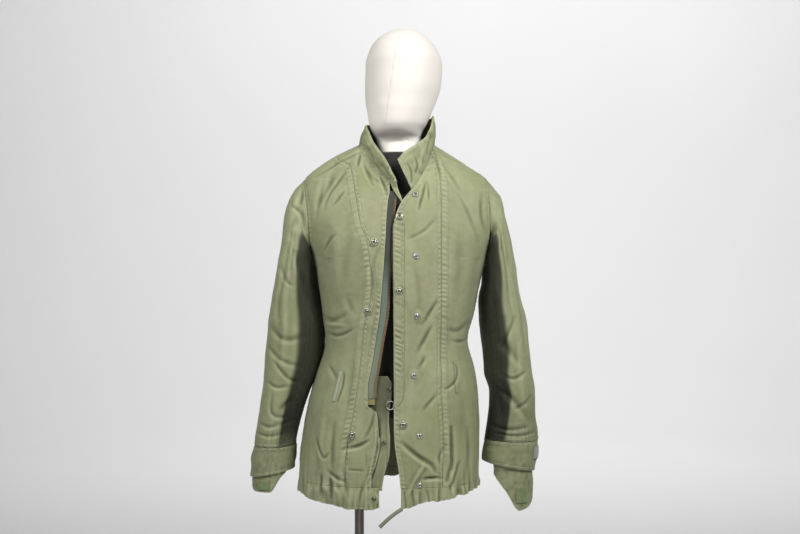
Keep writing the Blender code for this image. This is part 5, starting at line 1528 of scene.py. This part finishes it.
def make_fly():
    """Placket, underlap, both zip tapes, the teeth and the pocket mouths."""
    placket = front_strip(front_edge("left", GAP), lambda h: reading(PLACKET, "x", h), PLACKET_FOOT,
                          PLACKET_TOP)
    make_cloth("placket_cloth", placket, (0.022, 0.360), 0.0013, TAPE, sage,
               seams={"l": 0.0160, "r": 0.0040}, free="l", relief=body_cloth, lift=LAY_GAP + TAPE)
    strip = front_strip(front_edge("right", -0.010), lambda h: reading(UNDERLAP, "x", h), UNDERLAP_FOOT,
                        UNDERLAP[-1]["height"], lambda u, h: UNDERLAP_DEPTH)
    # The underlap is painted darker, more so higher up, as painted shade behind the fronts.
    make_cloth("underlap_cloth", strip, (0.035, 0.213), 0.0018, CLOTH, sage, free="r", relief=body_cloth,
               shade=lambda point, normal: 0.18 + 0.46 * smooth((point[..., 2] - 0.97) / 0.06))

    def turned_in(u, height):
        return 0.0004 + u * reading(TAPE_TURN_IN, "depth", height)

    right = front_strip(front_edge("right", 2 * GAP), front_edge("right", 2 * GAP + TAPE_WIDTH), ZIP_FOOT,
                        ZIP_TOP, turned_in)
    make_cloth("zip_tape_right_cloth", right, (0.0135, 0.404), 0.0016, TAPE, tape_cloth, relief=body_cloth)
    left = front_strip(front_edge("left", 0.004), front_edge("left", 0.004 + TAPE_WIDTH), ZIP_FOOT,
                       ZIP_TOP_LEFT, lambda u, h: CLOTH + LAY_GAP + 0.001)
    make_cloth("zip_tape_left_cloth", left, (0.0135, 0.358), 0.0030, TAPE, tape_cloth, relief=body_cloth)
    make_teeth("zip_teeth_right", right)
    lift = LAY_GAP + TAPE
    lines = {
        "pocket_zip_right": ((1.034, 1.092), (-0.1290, -0.1147), 0.0025, pocket_tape, "zip_tape"),
        "pocket_welt_left": ((1.050, 1.110), (0.1120, 0.1080), 0.0030, plain_sage, "sage_cloth"),
    }
    low = -0.003
    for name, (span, xs, high, material, finish) in lines.items():
        mouth = front_strip(lambda h, span=span, xs=xs: np.interp(h, span, xs) + low,
                            lambda h, span=span, xs=xs, high=high: np.interp(h, span, xs) + high, *span)
        make_cloth(name + "_cloth", mouth, (0.010, 0.066), 0.0012, TAPE, material, relief=body_cloth,
                   lift=lift)


TOOTH = [dict(across=across, out=out, up=up)
         for up in (0.0, 1.0) for across, out in ((0.0, 0.0), (1.0, 0.0), (1.0, 1.0), (0.0, 1.0))]
TOOTH_FACES = [(0, 3, 2, 1), (4, 5, 6, 7), (0, 1, 5, 4), (1, 2, 6, 5), (2, 3, 7, 6), (3, 0, 4, 7)]
TOOTH_SIZE = (0.0044, 0.0026, 0.0017)
TOOTH_PITCH = 0.0028


def make_teeth(name, strip):
    """One row of metal teeth, set on the inner edge of a tape."""
    rows = int((ZIP_TOP - ZIP_FOOT - 0.006) / TOOTH_PITCH)
    places = np.linspace(0.010, 0.990, rows)
    spot = strip(np.full(rows, 0.90), places)
    side = strip(np.full(rows, 1.0), places) - strip(np.full(rows, 0.8), places)
    side /= np.linalg.norm(side, axis=-1, keepdims=True)
    up = np.gradient(spot, axis=0)
    up /= np.linalg.norm(up, axis=-1, keepdims=True)
    out = np.cross(side, up)
    spot = spot + out * body_cloth(spot, out)[:, None]
    points, faces = [], []
    for k in range(rows):
        for corner in TOOTH:
            taper = 1.0 - 0.25 * corner["out"]
            points.append(spot[k] + side[k] * corner["across"] * TOOTH_SIZE[0]
                          + out[k] * (corner["out"] - 0.25) * TOOTH_SIZE[1]
                          + up[k] * (corner["up"] - 0.5) * TOOTH_SIZE[2] * taper)
        faces += [tuple(8 * k + i for i in face) for face in TOOTH_FACES]
    piece = mesh_object(name, points, faces)
    piece.data.shade_flat()
    piece.data.materials.append(teeth_metal)
    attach(piece, PARENT)


# ---------------------------------------------------------------- the dress form

# The cover's seam, then the chin crease; both are pressed in and marked to be painted dark, the crease's mark
# being painted shade.
HEAD_SEAM_AND_CHIN_SHADE = folds(
    (0.0012, -0.0007, 0.0,
     ((0.008, 1.778), (-0.002, 1.760), (-0.010, 1.723), (-0.014, 1.687), (-0.020, 1.652),
      (-0.0255, 1.610), (-0.030, 1.578), (-0.031, 1.552))),
    (0.0015, -0.0009, 0.0, ((-0.034, 1.5500), (-0.022, 1.5485), (0.004, 1.5485), (0.032, 1.5580))),
)


def turned_faces(grid):
    """The faces between the closed rings of a grid of points."""
    number = np.arange(grid.shape[0] * grid.shape[1]).reshape(grid.shape[:2])
    after = np.roll(number, -1, axis=1)
    return np.stack([number[:-1], after[:-1], after[1:], number[1:]], axis=-1).reshape(-1, 4)


def make_form_piece(name, points, material, node, lines=None):
    """A smooth body from rings, closed at both ends on its own axis."""
    low, high = points[:1].mean(axis=1, keepdims=True), points[-1:].mean(axis=1, keepdims=True)
    low = np.broadcast_to(low, points[:1].shape)
    high = np.broadcast_to(high, points[:1].shape)
    grid = np.concatenate([low, points, high])
    normal = grid_normals(grid, 1.0, True)
    mark = np.zeros(grid.shape[:2])
    if lines is not None:
        front = smooth(-normal[..., 1] * 2.0)
        push = front * fold_height(lines, grid[..., 0], grid[..., 2])
        grid = grid + normal * push[..., None]
        # The pressed-in lines are marked for painting dark: a seam line, and painted shade in the chin
        # crease.
        mark = np.clip(-push / 0.0007, 0, 1)
    piece = mesh_object(name, grid, turned_faces(grid), {"line": mark})
    piece.data.materials.append(material)
    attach(piece, PARENT)
    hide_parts(node)


def make_form():
    """The covers of head and torso; the head's rings are spaced along its outline."""
    rows = [dict(row) for row in HEAD]
    rows.append(dict(rows[-1], height=HEAD_TOP, half=0.0004, front=0.0005, back=0.0005))
    travel = 0.0
    for before, row in zip([rows[0]] + rows[:-1], rows):
        travel += math.hypot(row["height"] - before["height"], row["half"] - before["half"])
        row["travel"] = travel
    places = np.linspace(0, travel, 110)
    turns = np.linspace(0, 360, 181)[:-1]
    place_grid, turn_grid = np.meshgrid(places, np.radians(turns), indexing="ij")
    keys = ("height", "middle", "half", "set", "front", "back")
    read = {key: reading(rows, key, place_grid, "travel") for key in keys}
    deep = np.where(np.cos(turn_grid) > 0, read["front"], read["back"])
    x = read["middle"] + read["half"] * np.sin(turn_grid)
    y = read["set"] - deep * np.cos(turn_grid)
    make_form_piece("head_cover", np.stack([x, y, read["height"]], axis=-1), cream_jersey, "form_head",
                    HEAD_SEAM_AND_CHIN_SHADE)
    heights = np.linspace(TORSO[0]["height"], TORSO[-1]["height"], 90)
    height_grid, turn_grid = np.meshgrid(heights, turns[::2], indexing="ij")
    make_form_piece("torso_cover", ring_point(TORSO, turn_grid, height_grid), black_jersey, "form_torso")


# ---------------------------------------------------------------- room, light and camera


def make_room():
    """A pale floor that curves up into a far round wall."""
    shader = Shader("pale_paint", Roughness=0.9, Specular_IOR_Level=0.1)
    tone = shader.noise(0.6, 2.0)
    base = shader.blend(tone, (0.80, 0.80, 0.80, 1.0), (0.84, 0.84, 0.84, 1.0))
    paint = shader.finish(base)
    radius, bend, wall = 9.5, 3.0, 7.0
    profile = [(0.0, 0.0), (radius - bend, 0.0)]
    profile += [
        (radius - bend + bend * math.sin(t), bend - bend * math.cos(t))
        for t in np.linspace(0.1, math.pi / 2, 14)
    ]
    profile.append((radius, wall))
    turns = np.linspace(0, TAU, 97)[:-1]
    points = np.array([[(r * math.cos(t) - GARMENT_X, r * math.sin(t), z - 0.0002) for t in turns]
                       for r, z in profile])
    room = mesh_object("studio_floor", points, turned_faces(points))
    room.data.materials.append(paint)


LIGHTS = table(
    "name place aim size watts",
    ("key", (1.05, -1.20, 2.45), (0.10, 0.0, 1.42), 0.50, 35.0),
    ("fill", (-1.00, -1.20, 2.45), (0.04, 0.0, 1.46), 0.60, 25.0),
    ("bounce", (0.10, -2.70, 0.70), (0.08, 0.0, 1.56), 1.50, 5.5),
    ("wall_wash", (0.6, 4.0, 5.6), (0.8, 9.0, 2.5), 4.0, 318.0),
)


SKY_STRENGTH = 0.14
EYE_DISTANCE = 2.27        # the camera's distance in front of the pole
EYE_HEIGHT = 1.297


def make_light():
    """The lamps, and a pale even sky."""
    for row in LIGHTS:
        light = bpy.data.lights.new(row["name"], "AREA")
        light.size = row["size"]
        light.energy = row["watts"]
        lamp = bpy.data.objects.new(row["name"], light)
        bpy.context.scene.collection.objects.link(lamp)
        lamp.location = row["place"]
        aim = np.array(row["aim"]) - np.array(row["place"])
        lamp.rotation_euler = Vector(aim).to_track_quat("-Z", "Y").to_euler()
    world = bpy.data.worlds.new("pale_sky")
    bpy.context.scene.world = world
    world.use_nodes = True
    sky = world.node_tree.nodes["Background"]
    sky.inputs["Color"].default_value = (1.0, 1.0, 1.0, 1.0)
    sky.inputs["Strength"].default_value = SKY_STRENGTH
    bpy.context.scene.view_settings.view_transform = "Standard"


def make_camera():
    """A level view of the front, square to the middle of the garment."""
    camera = bpy.data.cameras.new("camera")
    camera.lens = 50.0
    camera.sensor_width = 36.0
    camera.clip_end = 60.0
    eye = bpy.data.objects.new("camera", camera)
    bpy.context.scene.collection.objects.link(eye)
    eye.location = (GARMENT_X, -EYE_DISTANCE, EYE_HEIGHT)
    eye.rotation_euler = (math.radians(90.0), 0.0, 0.0)
    bpy.context.scene.camera = eye


make_camera()
make_drawcord()
make_panels()
make_hem()
make_collar()
make_collar_tip()
make_sleeves()
make_fly()
make_form()
make_room()
make_light()
